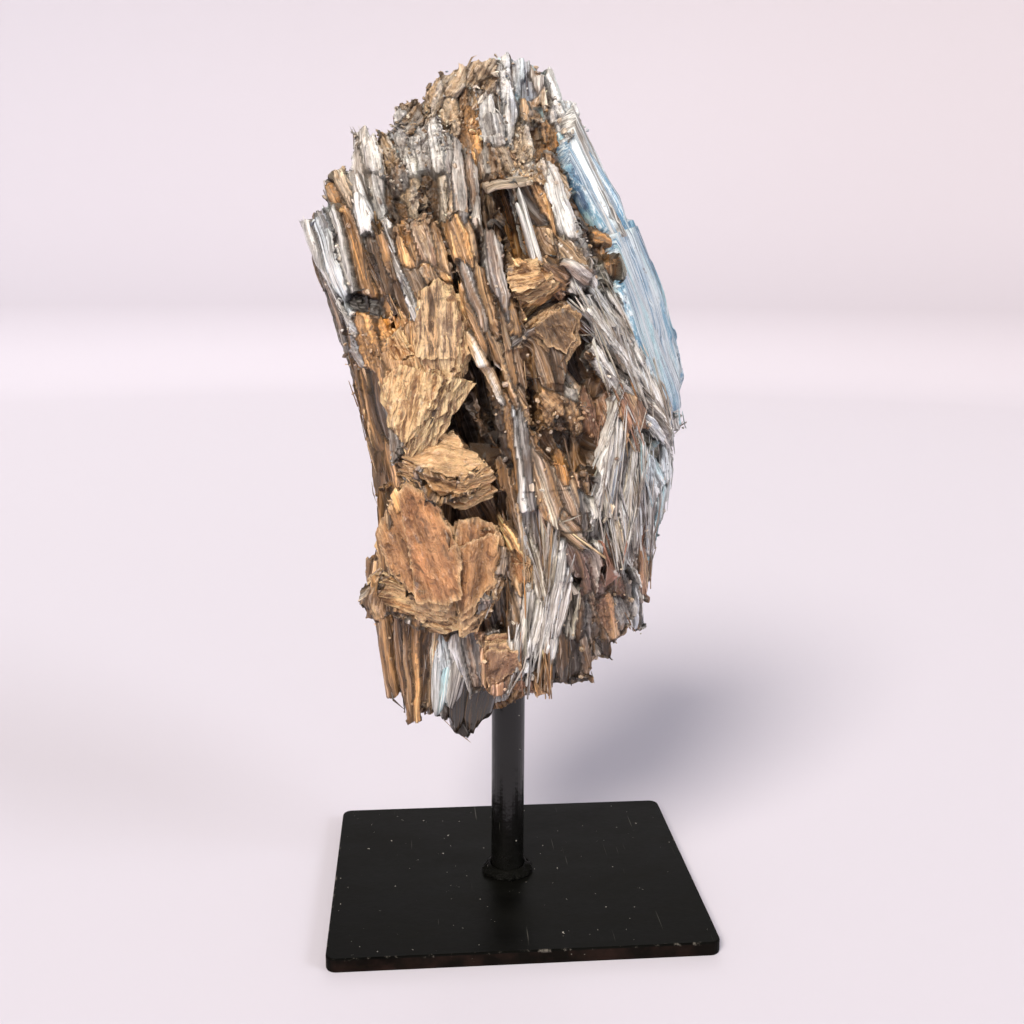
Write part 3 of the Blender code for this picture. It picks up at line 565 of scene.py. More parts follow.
def colour(tone):
    """A linear colour with full alpha, as a socket takes it."""
    return (*[float(part) for part in tone], 1.0)


def crystal_finish():
    """Pearly kyanite: fine streaks along each crystal in its own colour, stained brown here and there."""
    made = Finish("kyanite_crystal")
    tint, grain = made.attribute("tint", "Color"), made.attribute("grain", "Vector")
    streaks = made.noise(grain, (1.3, 1.3, 0.05), detail=5, roughness=0.65)
    threads = made.noise(grain, (4.0, 4.0, 0.1), detail=2)
    stains = made.noise(made.place(), (110, 110, 45), detail=4, roughness=0.6)
    base = made.shaded(tint, made.between(streaks, 0.3, 0.7, 0.3, 1.7))
    base = made.over(base, stains, 0.46, 0.62, 0.65, BROWN * 0.9)
    base = made.over(base, threads, 0.57, 0.7, 0.65, PALE)
    base = made.over(base, threads, 0.43, 0.3, 0.65, BROWN * 0.5)
    made.set(Base_Color=base, Roughness=made.between(streaks, 0.3, 0.7, 0.5, 0.28))
    made.set(Specular_IOR_Level=0.6, Metallic=0.1, Coat_Weight=0.2, Coat_Roughness=0.25)
    made.bump(made.sum(streaks, made.times(threads, 0.6)), 1.0, 0.9)
    return made.material


def blue_finish():
    """The long blue faces: sky blue with long pale streaks, deeper blue patches and white bruises."""
    made = Finish("blue_kyanite")
    tint, grain = made.attribute("tint", "Color"), made.attribute("grain", "Vector")
    bands = made.noise(grain, (0.3, 0.1, 0.01), detail=5, roughness=0.65)
    streaks = made.noise(grain, (1.8, 0.5, 0.025), detail=5, roughness=0.7)
    clouds = made.noise(grain, (0.12, 0.1, 0.03), detail=4)
    bruises = made.noise(grain, (0.8, 0.6, 0.3), detail=6, roughness=0.75)
    base = made.over(tint, clouds, 0.47, 0.56, 0.75, BLUE)
    base = made.over(base, bands, 0.5, 0.58, 0.9, BLUE_WHITE)
    base = made.over(base, bands, 0.43, 0.36, 0.75, DEEP_BLUE * 1.3)
    base = made.over(base, streaks, 0.52, 0.6, 1, BLUE_WHITE * 1.15)
    base = made.over(base, streaks, 0.46, 0.38, 0.85, DEEP_BLUE)
    base = made.over(base, bruises, 0.56, 0.66, 0.8, BLUE_WHITE * 1.1)
    base = made.over(base, bruises, 0.42, 0.32, 0.75, GREY_BROWN * 0.45)
    made.set(Base_Color=base, Roughness=made.between(streaks, 0.3, 0.7, 0.45, 0.22))
    made.set(Specular_IOR_Level=0.6, Coat_Weight=0.4, Coat_Roughness=0.15)
    made.bump(made.sum(streaks, bands, made.times(bruises, 0.5)), 1.0, 1.0)
    return made.material


def mica_finish(name, streaked):
    """Bronze mica: satin sheets, creased and wrinkled, with streaks of their own along them and painted
    highlights of bright gold over them.
    """
    made = Finish(name)
    tint, grain = made.attribute("tint", "Color"), made.attribute("grain", "Vector")
    clouds = made.noise(grain, (0.2, 0.12, 0.4), detail=6, roughness=0.7)
    bands = made.noise(grain, (0.5, 0.05, 0.5), detail=5, roughness=0.65, distortion=0.4)
    lines = made.noise(grain, (0.8, 0.08, 0.8), detail=5, roughness=0.6)
    wrinkles = made.noise(grain, (0.35, 0.2, 0.5), detail=8, distortion=0.9, turn=(0, 0, 0.5))
    specks = made.noise(grain, 0.7, detail=6, roughness=0.7)
    # The bright tone is partly the sheets' own lighter streaks and partly a painted gold highlight, laid
    # over bands, wrinkles, specks and lines.
    bright = made.mix(0.1 + 0.8 * streaked, made.scaled(tint, 1.3, 1.3, 1.3), BRIGHT_GOLD * 1.15)
    dim = made.scaled(tint, 0.34, 0.27, 0.22)
    base = made.shaded(tint, made.between(clouds, 0.38, 0.62, 0.5, 1.12))
    base = made.over(base, bands, 0.53, 0.58, streaked, dim)
    base = made.over(base, bands, 0.49, 0.44, streaked, bright)
    base = made.over(base, wrinkles, 0.54, 0.66, 0.6, bright)
    base = made.over(base, specks, 0.55, 0.65, 0.35 + 0.4 * streaked, bright)
    base = made.over(base, specks, 0.45, 0.35, 0.3 + 0.2 * streaked, dim)
    base = made.over(base, lines, 0.53, 0.58, 0.1 + 0.85 * streaked, bright)
    base = made.over(base, lines, 0.46, 0.4, 0.1 + 0.75 * streaked, dim)
    base = made.over(base, wrinkles, 0.44, 0.34, 0.6, DARK_BROWN * 1.3)
    made.set(Base_Color=base, Roughness=made.between(wrinkles, 0.35, 0.65, 0.42, 0.2))
    made.set(Metallic=0.08, Specular_IOR_Level=0.8, Coat_Weight=0.25, Coat_Roughness=0.2)
    made.bump(made.sum(wrinkles, lines, made.times(specks, 0.5)), 1.0, 2.0)
    return made.material


def matrix_finish():
    """The grown-together stone: long pearly threads in each crystal, and crumbs where it has crumbled."""
    made = Finish("fibrous_stone")
    tint, grain = made.attribute("tint", "Color"), made.attribute("grain", "Vector")
    loose = made.between(made.attribute("tint", "Alpha"), 1, 0, 0.12, 1)
    fibres = made.noise(grain, (0.8, 0.17, 0.035), detail=5, roughness=0.65)
    threads = made.noise(grain, (1.5, 0.3, 0.045), detail=4, roughness=0.6)
    crumbs = made.noise(made.place(), 800, detail=4, roughness=0.7)
    stains = made.noise(made.place(), (90, 90, 40), detail=4, roughness=0.6)
    streaky = made.between(fibres, 0.36, 0.66, 0.3, 1.8)
    crumbled = made.between(crumbs, 0.36, 0.66, 0.45, 1.75)
    lighter = made.mix(0.2, made.scaled(tint, 2.0, 2.0, 2.0), PALE * 1.15)
    darker = made.mix(0.5, made.scaled(tint, 0.3, 0.3, 0.3), BROWN * 0.35)
    base = made.shaded(tint, made.blend(loose, streaky, crumbled))
    base = made.over(base, stains, 0.52, 0.66, 0.45, BRONZE * 0.8)
    base = made.over(base, threads, 0.54, 0.63, made.between(loose, 0.12, 1, 0.9, 0.3), lighter)
    base = made.over(base, threads, 0.46, 0.35, 0.85, darker)
    made.set(Base_Color=base, Roughness=made.between(fibres, 0.35, 0.65, 0.5, 0.28))
    made.set(Specular_IOR_Level=0.7, Coat_Weight=0.2, Coat_Roughness=0.25)
    made.bump(made.sum(fibres, made.times(threads, 0.7), made.times(crumbs, loose)), 1.0, 1.1)
    return made.material


def smoky_finish():
    """Smoky, glassy crystal, nearly black with fine brown streaks."""
    made = Finish("smoky_crystal")
    streaks = made.noise(made.attribute("grain", "Vector"), (1.2, 1.2, 0.06), detail=4)
    base = made.over(SMOKE * 0.5, streaks, 0.5, 0.75, 0.45, BRONZE * 0.6)
    made.set(Base_Color=base, Roughness=made.between(streaks, 0.3, 0.7, 0.12, 0.3))
    made.set(Coat_Weight=0.6, Coat_Roughness=0.08)
    made.bump(streaks, 0.4, 0.4)
    return made.material


# ---------------------------------------------------------------- meshes


def piece_from(name, mesh, material, node="specimen"):
    """A finished piece that stands for a node of the frame."""
    made = bpy.data.objects.new(name, mesh)
    bpy.context.scene.collection.objects.link(made)
    mesh.materials.clear()
    mesh.materials.append(material)
    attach(made, "root")
    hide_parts(node)
    return made


def set_attribute(mesh, name, kind, values):
    """Gives each point of a mesh a value: a vector, or a colour with a fourth part if it has one."""
    stored = mesh.attributes.new(name, kind, "POINT")
    key = "color" if kind == "FLOAT_COLOR" else "vector"
    if kind == "FLOAT_COLOR" and values.shape[1] == 3:
        values = np.concatenate([values, np.ones((len(values), 1))], 1)
    stored.data.foreach_set(key, np.ascontiguousarray(values, np.float32).ravel())


def welded_copy(node):
    """A copy of a node's form, with its coinciding points welded."""
    bm = bmesh.new()
    bm.from_mesh(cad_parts[node].data)
    bmesh.ops.remove_doubles(bm, verts=bm.verts, dist=0.001 * MM)
    mesh = bpy.data.meshes.new(node + "_copy")
    bm.to_mesh(mesh)
    bm.free()
    return mesh


def points_and_normals(mesh):
    """Each point of a mesh in mm, and its normal."""
    flat = np.empty(len(mesh.vertices) * 3)
    mesh.vertices.foreach_get("co", flat)
    points = flat.reshape(-1, 3) / MM
    mesh.vertices.foreach_get("normal", flat)
    return points, flat.reshape(-1, 3).copy()


def specimen_tree():
    """The specimen's surface in mm, to measure from."""
    source = welded_copy("specimen")
    points, _ = points_and_normals(source)
    return BVHTree.FromPolygons(points.tolist(), [face.vertices[:] for face in source.polygons])


def pressed(points, tree, proud):
    """Moves points that stand more than so far out of the surface back towards it."""
    moved = points.copy()
    for index, point in enumerate(points):
        near, normal, _, away = tree.find_nearest(point)
        if away > proud and (Vector(point) - near).dot(normal) > -0.8 * away:
            moved[index] = np.array(near) + (point - np.array(near)) * (proud / away)
    return moved


# Where the outline swells or shrinks, as x, z, reach, and how far it moves in x and in z.
NUDGES = (
    (-38, 279, 9, 2.6, -3.6),
    (-47, 266, 6, -1.2, 3.4),
    (-54, 265, 5, 1.2, -1.8),
    (-59, 252, 9, -2.2, 1.2),
    (-5, 292, 9, 0.2, 0.5),
    (-20, 287, 6, 0.6, -1.4),
    (12, 288, 7, 0.8, 0.5),
    (59, 171, 8, -2.6, 0),
    (55, 205, 12, -1.6, 0),
    (40, 87, 13, 2.8, -1.8),
    (48, 104, 9, 2.4, 0),
    (9, 77, 8, 0, 5.0),
    (23, 83, 6, 0, 2.4),
    (-20, 66, 7, 0, 2.0),
    (-49, 133, 5, 0.5, 0),
    (-47, 152, 9, -0.8, 0),
    (-66, 226, 8, -1.0, 0),
    (-50, 121, 7, -1.5, -1.5),
)


def nudged(points):
    """The finished points, moved a little so that the outline is that of this specimen."""
    moved = points.copy()
    for x, z, reach, right, up in NUDGES:
        share = np.exp(-((points[:, 0] - x) ** 2 + (points[:, 2] - z) ** 2) / reach**2)
        moved[:, 0] += right * share
        moved[:, 2] += up * share
    return moved


class Heap:
    """Many small shapes that end up as one mesh."""

    def __init__(self):
        self.points = []
        self.tints = []
        self.grains = []
        self.corners = []
        self.starts = []
        self.point_count = 0
        self.corner_count = 0

    def add(self, points, faces, tint, grain):
        """Adds points (count, 3) in mm, faces as lists of points, and each point's tint and grain."""
        self.add_copies(points[None], faces, tint[None], grain[None])

    def add_copies(self, points, faces, tints, grains):
        """Adds copies of one shape: points (copies, count, 3) in mm, with faces that all share."""
        copies, count = points.shape[:2]
        corners = np.array([corner for face in faces for corner in face])
        sizes = np.array([len(face) for face in faces])
        starts = np.concatenate([[0], np.cumsum(sizes)[:-1]])
        shift = np.arange(copies)[:, None]
        self.corners.append((corners[None] + shift * count + self.point_count).ravel())
        self.starts.append((starts[None] + shift * len(corners) + self.corner_count).ravel())
        self.points.append(points.reshape(-1, 3))
        self.tints.append(tints.reshape(-1, 3))
        self.grains.append(grains.reshape(-1, 3))
        self.point_count += copies * count
        self.corner_count += copies * len(corners)

    def press_down(self, proud):
        """Keeps every point near the specimen's surface or inside it."""
        tree = specimen_tree()
        self.points = [pressed(points, tree, proud) for points in self.points]

    def mesh(self, name, smooth=False):
        mesh = bpy.data.meshes.new(name)
        corners = np.concatenate(self.corners)
        starts = np.concatenate(self.starts)
        mesh.vertices.add(self.point_count)
        points = nudged(np.concatenate(self.points))
        mesh.vertices.foreach_set("co", (points * MM).astype(np.float32).ravel())
        mesh.loops.add(len(corners))
        mesh.loops.foreach_set("vertex_index", corners.astype(np.int32))
        mesh.polygons.add(len(starts))
        mesh.polygons.foreach_set("loop_start", starts.astype(np.int32))
        mesh.update(calc_edges=True)
        mesh.validate()
        set_attribute(mesh, "tint", "FLOAT_COLOR", np.concatenate(self.tints))
        set_attribute(mesh, "grain", "FLOAT_VECTOR", np.concatenate(self.grains))
        if smooth:
            mesh.shade_smooth()
        else:
            mesh.shade_flat()
        return mesh


def shape_of(bm):
    """The points and faces of a bmesh, which is freed."""
    bm.verts.index_update()
    points = np.array([vert.co[:] for vert in bm.verts])
    faces = [[vert.index for vert in face.verts] for face in bm.faces]
    bm.free()
    return points, faces


def verts_of(geom):
    return [item for item in geom if isinstance(item, bmesh.types.BMVert)]


def field(points, scale, shift):
    """Soft noise from about -1 to 1 at each point; scale is one number or one for each axis."""
    return np.array([noise.noise(spot) for spot in points * scale + shift])


def unit(vectors):
    return vectors / np.maximum(np.linalg.norm(vectors, axis=-1, keepdims=True), 1e-9)


def nearness(points, places):
    """How near each point is to any of some places, given as x, z and reach: 1 at its middle."""
    x, z, reach = np.array(places, float).T
    away = (points[:, None, 0] - x) ** 2 + (points[:, None, 2] - z) ** 2
    return np.exp(-away / reach**2).max(1)


def beside_post(points, radius, top):
    """True for the points so near the post's middle, up to a top."""
    return (np.hypot(points[:, 0] - POST_X, points[:, 1]) < radius) & (points[:, 2] < top)


def frame_along(axes, outward):
    """A basis for each crystal, as rows: across, outward and along."""
    outward = unit(outward - (outward * axes).sum(-1, keepdims=True) * axes)
    across = np.cross(outward, axes)
    return np.stack([across, outward, axes], -2)


# ---------------------------------------------------------------- the grain

LEAN_HEIGHTS = (70, 110, 150, 190, 220, 250, 290)
LEAN = (6, 4, 2, 16, 18, 20, 18)  # how far crystals lean to the left of upright at those heights, in degrees


def upright(lean):
    """Directions that lean so far to the right of upright."""
    return np.stack([np.sin(lean), np.zeros_like(lean), np.cos(lean)], 1)


def grain_at(points):
    """The direction in which the crystals grow at each point."""
    number, _, _, _, reach = nearest_front(points)
    lean = -np.radians(np.interp(points[:, 2], LEAN_HEIGHTS, LEAN))
    in_front = (points[:, 1] < 10) & (reach < FRONT_REACH)
    return upright(np.where(in_front, FRONT_LEAN[number], lean))


# ---------------------------------------------------------------- the body

FRONT_VOXEL = 0.6  # how finely the form is cut
BACK_VOXEL = 1.15
FRONT_ENDS = 8.0  # y where the fine front meets the coarser back
FRONT_CUTS = (158.0, 217.0)  # z where the front is divided, so that no piece has too many faces
OVERLAP = 0.5  # how far the parts reach past a cut
FAR = 400  # past every side of the specimen
SEEDS = 1100  # blades all over the surface, for wherever the front's own crystals don't reach
NEIGHBOURS = 18  # seeds among which the nearest blade is looked for
FIRST_FRONT = 3000  # the number of the first front crystal; the others are numbered from 0
BLADE_WIDTH = 5.0
BLADE_LENGTH = 36.0
# Within a blade, crystals and then fibres: how wide, how deep and how long.
CRYSTAL_SIZE = (1.9, 6, 32)
FIBRE_SIZE = (1.2, 3.5, 24)
# Where the matrix has crumbled, as x, z and reach.
CRUMBLY_PLACES = (
    (-30, 272, 20),
    (-8, 284, 9),
    (14, 266, 13),
    (-34, 247, 12),
    (0, 260, 12),
    (-48, 202, 9),
    (20, 235, 8),
    (10, 180, 12),
    (28, 118, 11),
    (-12, 178, 10),
)


def even_mesh(name, source, voxel):
    """The source's form with even faces of about one voxel."""
    raw = bpy.data.objects.new(name + "_raw", source)
    bpy.context.scene.collection.objects.link(raw)
    remesh = raw.modifiers.new("Even mesh", "REMESH")
    remesh.mode = "VOXEL"
    remesh.voxel_size = voxel * MM
    bpy.context.view_layer.update()
    mesh = bpy.data.meshes.new_from_object(raw.evaluated_get(bpy.context.evaluated_depsgraph_get()))
    mesh.name = name
    bpy.data.objects.remove(raw)
    return mesh


def keep_box(mesh, low, high):
    """Keeps the part of a mesh between two corners, in mm."""
    bm = bmesh.new()
    bm.from_mesh(mesh)
    gone = [v for v in bm.verts if any(not a <= part / MM <= b for part, a, b in zip(v.co, low, high))]
    bmesh.ops.delete(bm, geom=gone, context="VERTS")
    bm.to_mesh(mesh)
    bm.free()


def nearest_blades(points, seeds, axes):
    """For each point: its blade, where it lies from that blade's middle, and how near the next blade is."""
    tree = KDTree(len(seeds))
    for index, seed in enumerate(seeds):
        tree.insert(seed, index)
    tree.balance()
    close = np.array([[found[1] for found in tree.find_n(point, NEIGHBOURS)] for point in points])
    offset = points[:, None] - seeds[close]
    along = (offset * axes[close]).sum(2)
    beside = np.sqrt(np.maximum((offset**2).sum(2) - along**2, 0))
    away = np.hypot(beside / BLADE_WIDTH, along / BLADE_LENGTH)
    order = np.argsort(away, 1)
    rows = np.arange(len(points))
    first, second = order[:, 0], order[:, 1]
    return close[rows, first], offset[rows, first], away[rows, second] - away[rows, first]


def cells(local, size, shift):
    """Divides space into cells of one size: a number from 0 to 1 for each cell, and the gap to the next."""
    centres, gaps = [], []
    for spot in local / size + shift:
        away, middles = noise.voronoi(spot)
        centres.append(middles[0])
        gaps.append(away[1] - away[0])
    mark = np.sin(np.array(centres) @ (127.1, 311.7, 74.7)) * 43758.5453
    return mark - np.floor(mark), np.array(gaps)


def crystal_grain(points, seeds, seed_normals, axes, chance):
    """Away from the front, each point's crystal, its place within it, and that crystal's height and gap."""
    count = len(seeds)
    blade, offset, gap = nearest_blades(points, seeds, axes)
    side = unit(np.cross(axes, seed_normals))[blade]
    out = np.cross(side, axes[blade])
    local = np.stack([(offset * side).sum(1), (offset * out).sum(1), (offset * axes[blade]).sum(1)], 1)
    height = chance.uniform(-1.5, 0.5, count)[blade]
    slope = np.clip(chance.normal(0, 0.22, count)[blade] * local[:, 0], -1.2, 1.2)
    return blade, local, height + slope, gap * BLADE_WIDTH


def front_grain(points, chance):
    """The same for the front's own rounded crystals with their broken ends, and how far away each is."""
    wobble = np.zeros_like(points)
    wobble[:, 0] = 0.7 * field(points, 0.13, 61) + 0.15 * field(points, 0.5, 67)
    number, across, along, gap, reach = nearest_front(points + wobble)
    width, stands_out = FRONT_ROWS[number, 4], FRONT_ROWS[number, 5]
    share = np.clip(2 * across / width, -1.2, 1.2)
    ends = np.clip(2 * np.abs(along) / FRONT_LENGTHS[number] - 0.75, 0, 1)
    tilt = chance.normal(0, 0.45, len(FRONT_ROWS))[number]
    height = stands_out + 0.06 * width * (0.6 - share**2) + tilt * share - 0.9 * ends
    return number, np.stack([across, points[:, 1], along], 1), height, gap, reach


def growth(points, normals, seeds, seed_normals):
    """For each point: its crystal's number, axis and mix, its place within it, and its height and gap."""
    chance = np.random.default_rng(6)
    axes = unit(grain_at(seeds) + chance.normal(0, 0.11, (len(seeds), 3)))
    number, local, height, gap = crystal_grain(points, seeds, seed_normals, axes, chance)
    elsewhere = (number, axes[number], mixes_at(seeds, seed_normals, chance)[number], local, height, gap)
    number, local, height, gap, reach = front_grain(points, chance)
    front = (number + FIRST_FRONT, upright(FRONT_LEAN[number]), FRONT_MIXES[number], local, height, gap)
    is_front = (side_facing(points, normals) == 0) & (reach < FRONT_REACH)
    chosen = []
    for one, other in zip(front, elsewhere):
        chosen.append(np.where(is_front[:, None] if one.ndim == 2 else is_front, one, other))
    return chosen


def grown(points, normals, seeds, seed_normals):
    """Raises and sinks a surface crystal by crystal: its points, their tints, whose alpha says how firm the
    stone is there, and their grain."""
    number, axis, mixes, local, height, gap = growth(points, normals, seeds, seed_normals)
    local[:, 0] += 0.5 * field(local, (0.05, 0.05, 0.045), number[:, None] * 3.1)
    shift = np.stack([number * 3.37, number * 1.71, number * 5.23], 1)
    crystal, crystal_gap = cells(local, CRYSTAL_SIZE, shift)
    fibre = cells(local, FIBRE_SIZE, shift + 31.7)[0]
    end_on = np.abs((axis * normals).sum(1))
    cleft = np.exp(-((gap / 0.45) ** 2))
    crystal_cleft = np.exp(-((crystal_gap / 0.16) ** 2))
    push = 1.1 * height * (1 + 0.5 * end_on) - 0.55 * cleft
    push += (0.5 * crystal - 0.3) * (1 + 2 * end_on) - 0.2 * crystal_cleft
    push += 0.2 * fibre - 0.1
    crumbly = crumbliness(points)
    lumps = field(points, 0.4, 40) + 0.8 * field(points, 0.95, 80)
    push = np.minimum(push * (1 - 0.5 * crumbly) + crumbly * 1.4 * lumps, 0.5)
    push = np.where(beside_post(points, 10.5, 116), 0, push)

    tints = 0.5 * streak_colours(mixes, crystal) + 0.3 * streak_colours(mixes, (fibre * 1.7 + crystal) % 1)
    tints += 0.2 * MIX_MEANS[mixes]
    # Painted shade and light: tints are darker in the clefts between blades and between crystals and where a
    # crystal lies sunk, and lighter where it stands out; the crystal and fibre marks give each its own tone.
    hollow = np.clip(-height - 0.8, 0, 3)
    shade = 1.26 * np.exp(0.8 * (crystal - 0.5) + 0.5 * (fibre - 0.5) - 0.5 * cleft - 0.3 * crystal_cleft)
    shade *= np.exp(-0.15 * hollow + 0.1 * np.clip(push, -2, 1))
    tints = np.concatenate([held(tints * shade[:, None]), 1 - crumbly[:, None]], 1)
    return under_plates(points + normals * push[:, None]), tints, local + shift * 7


def crumbliness(points):
    """How far the matrix has crumbled at each point, from 0 to 1."""
    return np.clip(1.3 * nearness(points, CRUMBLY_PLACES) - 0.15, 0, 1)


def stone_body(material):
    """The specimen's own form, all grown over with crystals."""
    source = welded_copy("specimen")
    seeds, seed_normals = surface_samples(source, SEEDS, np.random.default_rng(5), front_first)
    low_cut, high_cut = FRONT_CUTS
    parts = (
        ("stone_front_low", FRONT_VOXEL, (-FAR, 0), (FRONT_ENDS, low_cut + OVERLAP)),
        ("stone_front_middle", FRONT_VOXEL, (-FAR, low_cut - OVERLAP), (FRONT_ENDS, high_cut + OVERLAP)),
        ("stone_front_high", FRONT_VOXEL, (-FAR, high_cut - OVERLAP), (FRONT_ENDS, FAR)),
        ("stone_back", BACK_VOXEL, (FRONT_ENDS - 2 * OVERLAP, 0), (FAR, FAR)),
    )
    for name, voxel, low, high in parts:
        mesh = even_mesh(name, source.copy(), voxel)
        keep_box(mesh, (-FAR, *low), (FAR, *high))
        points, tints, grain = grown(*points_and_normals(mesh), seeds, seed_normals)
        mesh.vertices.foreach_set("co", (nudged(points) * MM).astype(np.float32).ravel())
        mesh.update()
        set_attribute(mesh, "tint", "FLOAT_COLOR", tints)
        set_attribute(mesh, "grain", "FLOAT_VECTOR", grain)
        mesh.shade_smooth()
        piece_from(name, mesh, material)


# ---------------------------------------------------------------- faces and whole blades

# The long blue faces of the right side, as their corners.
BLUE_FACES = {
    "upper_blue": (
        (
            (15, -9, 265), (20, -3, 266), (27, -2, 257), (33, -3, 248), (38, -5, 234), (32, -14, 233),
            (26, -18, 238), (20, -16, 249), (15, -17, 257),
        ),
        "blue",
    ),
    "main_blue": (
        (
            (30, -17, 236), (40, 0, 239), (50, 2, 217), (56, 4, 203), (59, 7, 190), (57, -2, 178),
            (51, -12, 177), (43, -22, 191), (36, -27, 204), (31, -28, 219),
        ),
        "sky",
    ),
    "side_blue": (
        (
            (39, 0, 241), (28, 24, 245), (42, 26, 205), (50, 26, 176), (57, 12, 170), (60, 8, 188),
            (57, 5, 203), (51, 3, 217),
        ),
        "sky",
    ),
}
# The pale, weathered face above them.
PALE_FACES = {
    "upper_pale": (
        (
            (18, 4, 278), (24, 5, 267), (30.5, 8, 256), (36.5, 9, 245), (40, 3, 235), (33, -13, 235),
            (27, -14, 245), (21, -12, 257), (17, -9, 267),
        ),
        "pale_edge",
    ),
}
# Blades that show whole, as foot, tip, width, thickness, facing, taper and mix.
FEATURE_BLADES = {
    "thin_white": ((4, -43, 221), (-5, -39, 249), 3.0, 8, (0, -1, 0), 0.95, "bright"),
    "flat_ledge": ((-13, -37, 249), (4, -35, 251), 8, 2.0, (0, -0.25, 1), 0.6, "sand"),
    "bright_tip": ((-25, -27, 110), (-28, -21, 74), 6, 5, (-0.2, -1, 0), 0.6, "white_blue"),
    "bright_tip_low": ((-20, -27, 98), (-23, -22, 78), 5, 4, (0.2, -1, 0), 0.6, "bright"),
}
SMOKY_BLADES = {
    "dark_tip": ((-15, -20, 112), (-19, -17, 65), 18, 12, (0, -1, -0.2), 0.45, "smoke"),
}
FACE_THICKNESS = 5.0
FACE_PROUD = 0.5  # how far a flat face stands before its corners
STRIP_CELL = 0.6  # how finely a strip is cut across


def strip_form(wide, thick, length):
    """A bar from 0 to length along Z, cut finely enough to be shaped: points, shares of size, and faces."""
    bm = bmesh.new()
    bmesh.ops.create_cube(bm, size=1)
    for axis, cuts in ((0, max(2, round(wide / STRIP_CELL))), (1, 2), (2, max(4, round(length / 2.6)))):
        edges = [e for e in bm.edges if abs(e.verts[0].co[axis] - e.verts[1].co[axis]) > 0.5]
        bmesh.ops.subdivide_edges(bm, edges=edges, cuts=cuts, use_grid_fill=True)
    share, faces = shape_of(bm)
    return share * (wide, thick, length) + (0, 0, length / 2), share + (0, 0, 0.5), faces


def strip(wide, thick, length, taper, chance):
    """One crystal of a bundle: ridged along its length, with rounded edges and a splintered tip."""
    points, share, faces = strip_form(wide, thick, length)
    across, deep, along = share[:, 0], share[:, 1], share[:, 2]
    shift = chance.uniform(0, 500, 3)
    ridge = field(np.stack([points[:, 0] * 0.9, along * 0.8, along * 0], 1), 1, shift)
    fine = field(np.stack([points[:, 0] * 2.1, along * 2.0, along * 0], 1), 1, shift + 50)
    wander = field(np.stack([along * length * 0.06, along * 0, along * 0], 1), 1, shift + 90)
    chips = field(points * (0.5, 0.3, 0.28), 1, shift + 140)
    edge = (2 * abs(across)) ** 3
    raised = 0.3 * ridge + 0.15 * fine + 0.45 * np.minimum(chips, 0.2)
    end = np.clip((along - 0.82) / 0.18, 0, 1)
    narrow = 1 - (1 - taper) * along**1.5 - 0.25 * end
    jag = field(np.stack([points[:, 0] * 0.8, along * 0, along * 0], 1), 1, shift + 200)
    slant = chance.uniform(-0.5, 0.5)
    shaped = np.stack(
        [
            points[:, 0] * narrow * (1 - 0.2 * (2 * abs(deep)) ** 2) + 0.5 * wander,
            points[:, 1] * (1 - 0.3 * edge - 0.25 * end) + np.sign(deep) * raised,
            points[:, 2] + end * (1.6 * jag + slant * points[:, 0] - 0.35 * wide * abs(2 * across)),
        ],
        1,
    )
    # Painted light and shade: lighter on the raised ridges, darker on the rounded edges, and lighter towards
    # the tip.
    shade = 1 + 0.5 * ridge + 0.3 * fine - 0.3 * edge + 0.2 * end
    return shaped, faces, shade, points


def bundle(heap, blade, chance, strip_width, own, uneven):
    """A large blade as it grew: strips side by side, none quite as long or as high as the next."""
    foot, tip, width, thickness, facing, taper, mix = blade
    foot, tip = np.array(foot, float), np.array(tip, float)
    length = np.linalg.norm(tip - foot)
    basis = frame_along(unit(tip - foot), np.array(facing, float))
    number = max(2, round(width / strip_width))
    step = width / number
    for index in range(number):
        middle = (index + 0.5) * step - width / 2
        wide = step * chance.uniform(1.1, 1.9)
        long = length * (1 - chance.uniform(0, uneven) - 0.16 * (1 - taper) * abs(2 * middle / width))
        shaped, faces, shade, grain = strip(wide, thickness * 0.9, long, 0.5 + 0.5 * taper, chance)
        gather = 1 - (1 - taper) * (shaped[:, 2] / length).clip(0, 1) ** 1.5
        crown = 0.6 * thickness * 0.25 * (1 - (2 * middle / width) ** 2)
        shaped[:, 0] += middle * gather
        shaped[:, 1] += crown + chance.uniform(-1.2, 0.6)
        sunk = (1 - shaped[:, 2] / (0.22 * length)).clip(0, 1)
        shaped[:, 1] -= 0.5 * thickness * sunk**2
        turn = math.radians(chance.normal(0, 2.2))
        shaped[:, 0] += math.sin(turn) * (shaped[:, 2] - long / 2)
        shaped[:, 1] += math.sin(math.radians(chance.uniform(-1.6, 1.0))) * (shaped[:, 2] - long / 2)
        placed = foot + shaped @ basis
        colours = colours_of_mix(mix, 1, chance)[0] * math.exp(chance.normal(0, 0.28))
        around = ground_colours(placed, np.tile(basis[1], (len(placed), 1)))
        # The tints take each strip's painted light and shade.
        tints = (colours * own + around * (1 - own)) * shade[:, None]
        heap.add(placed, faces, held(tints), grain + chance.uniform(0, 900, 3))


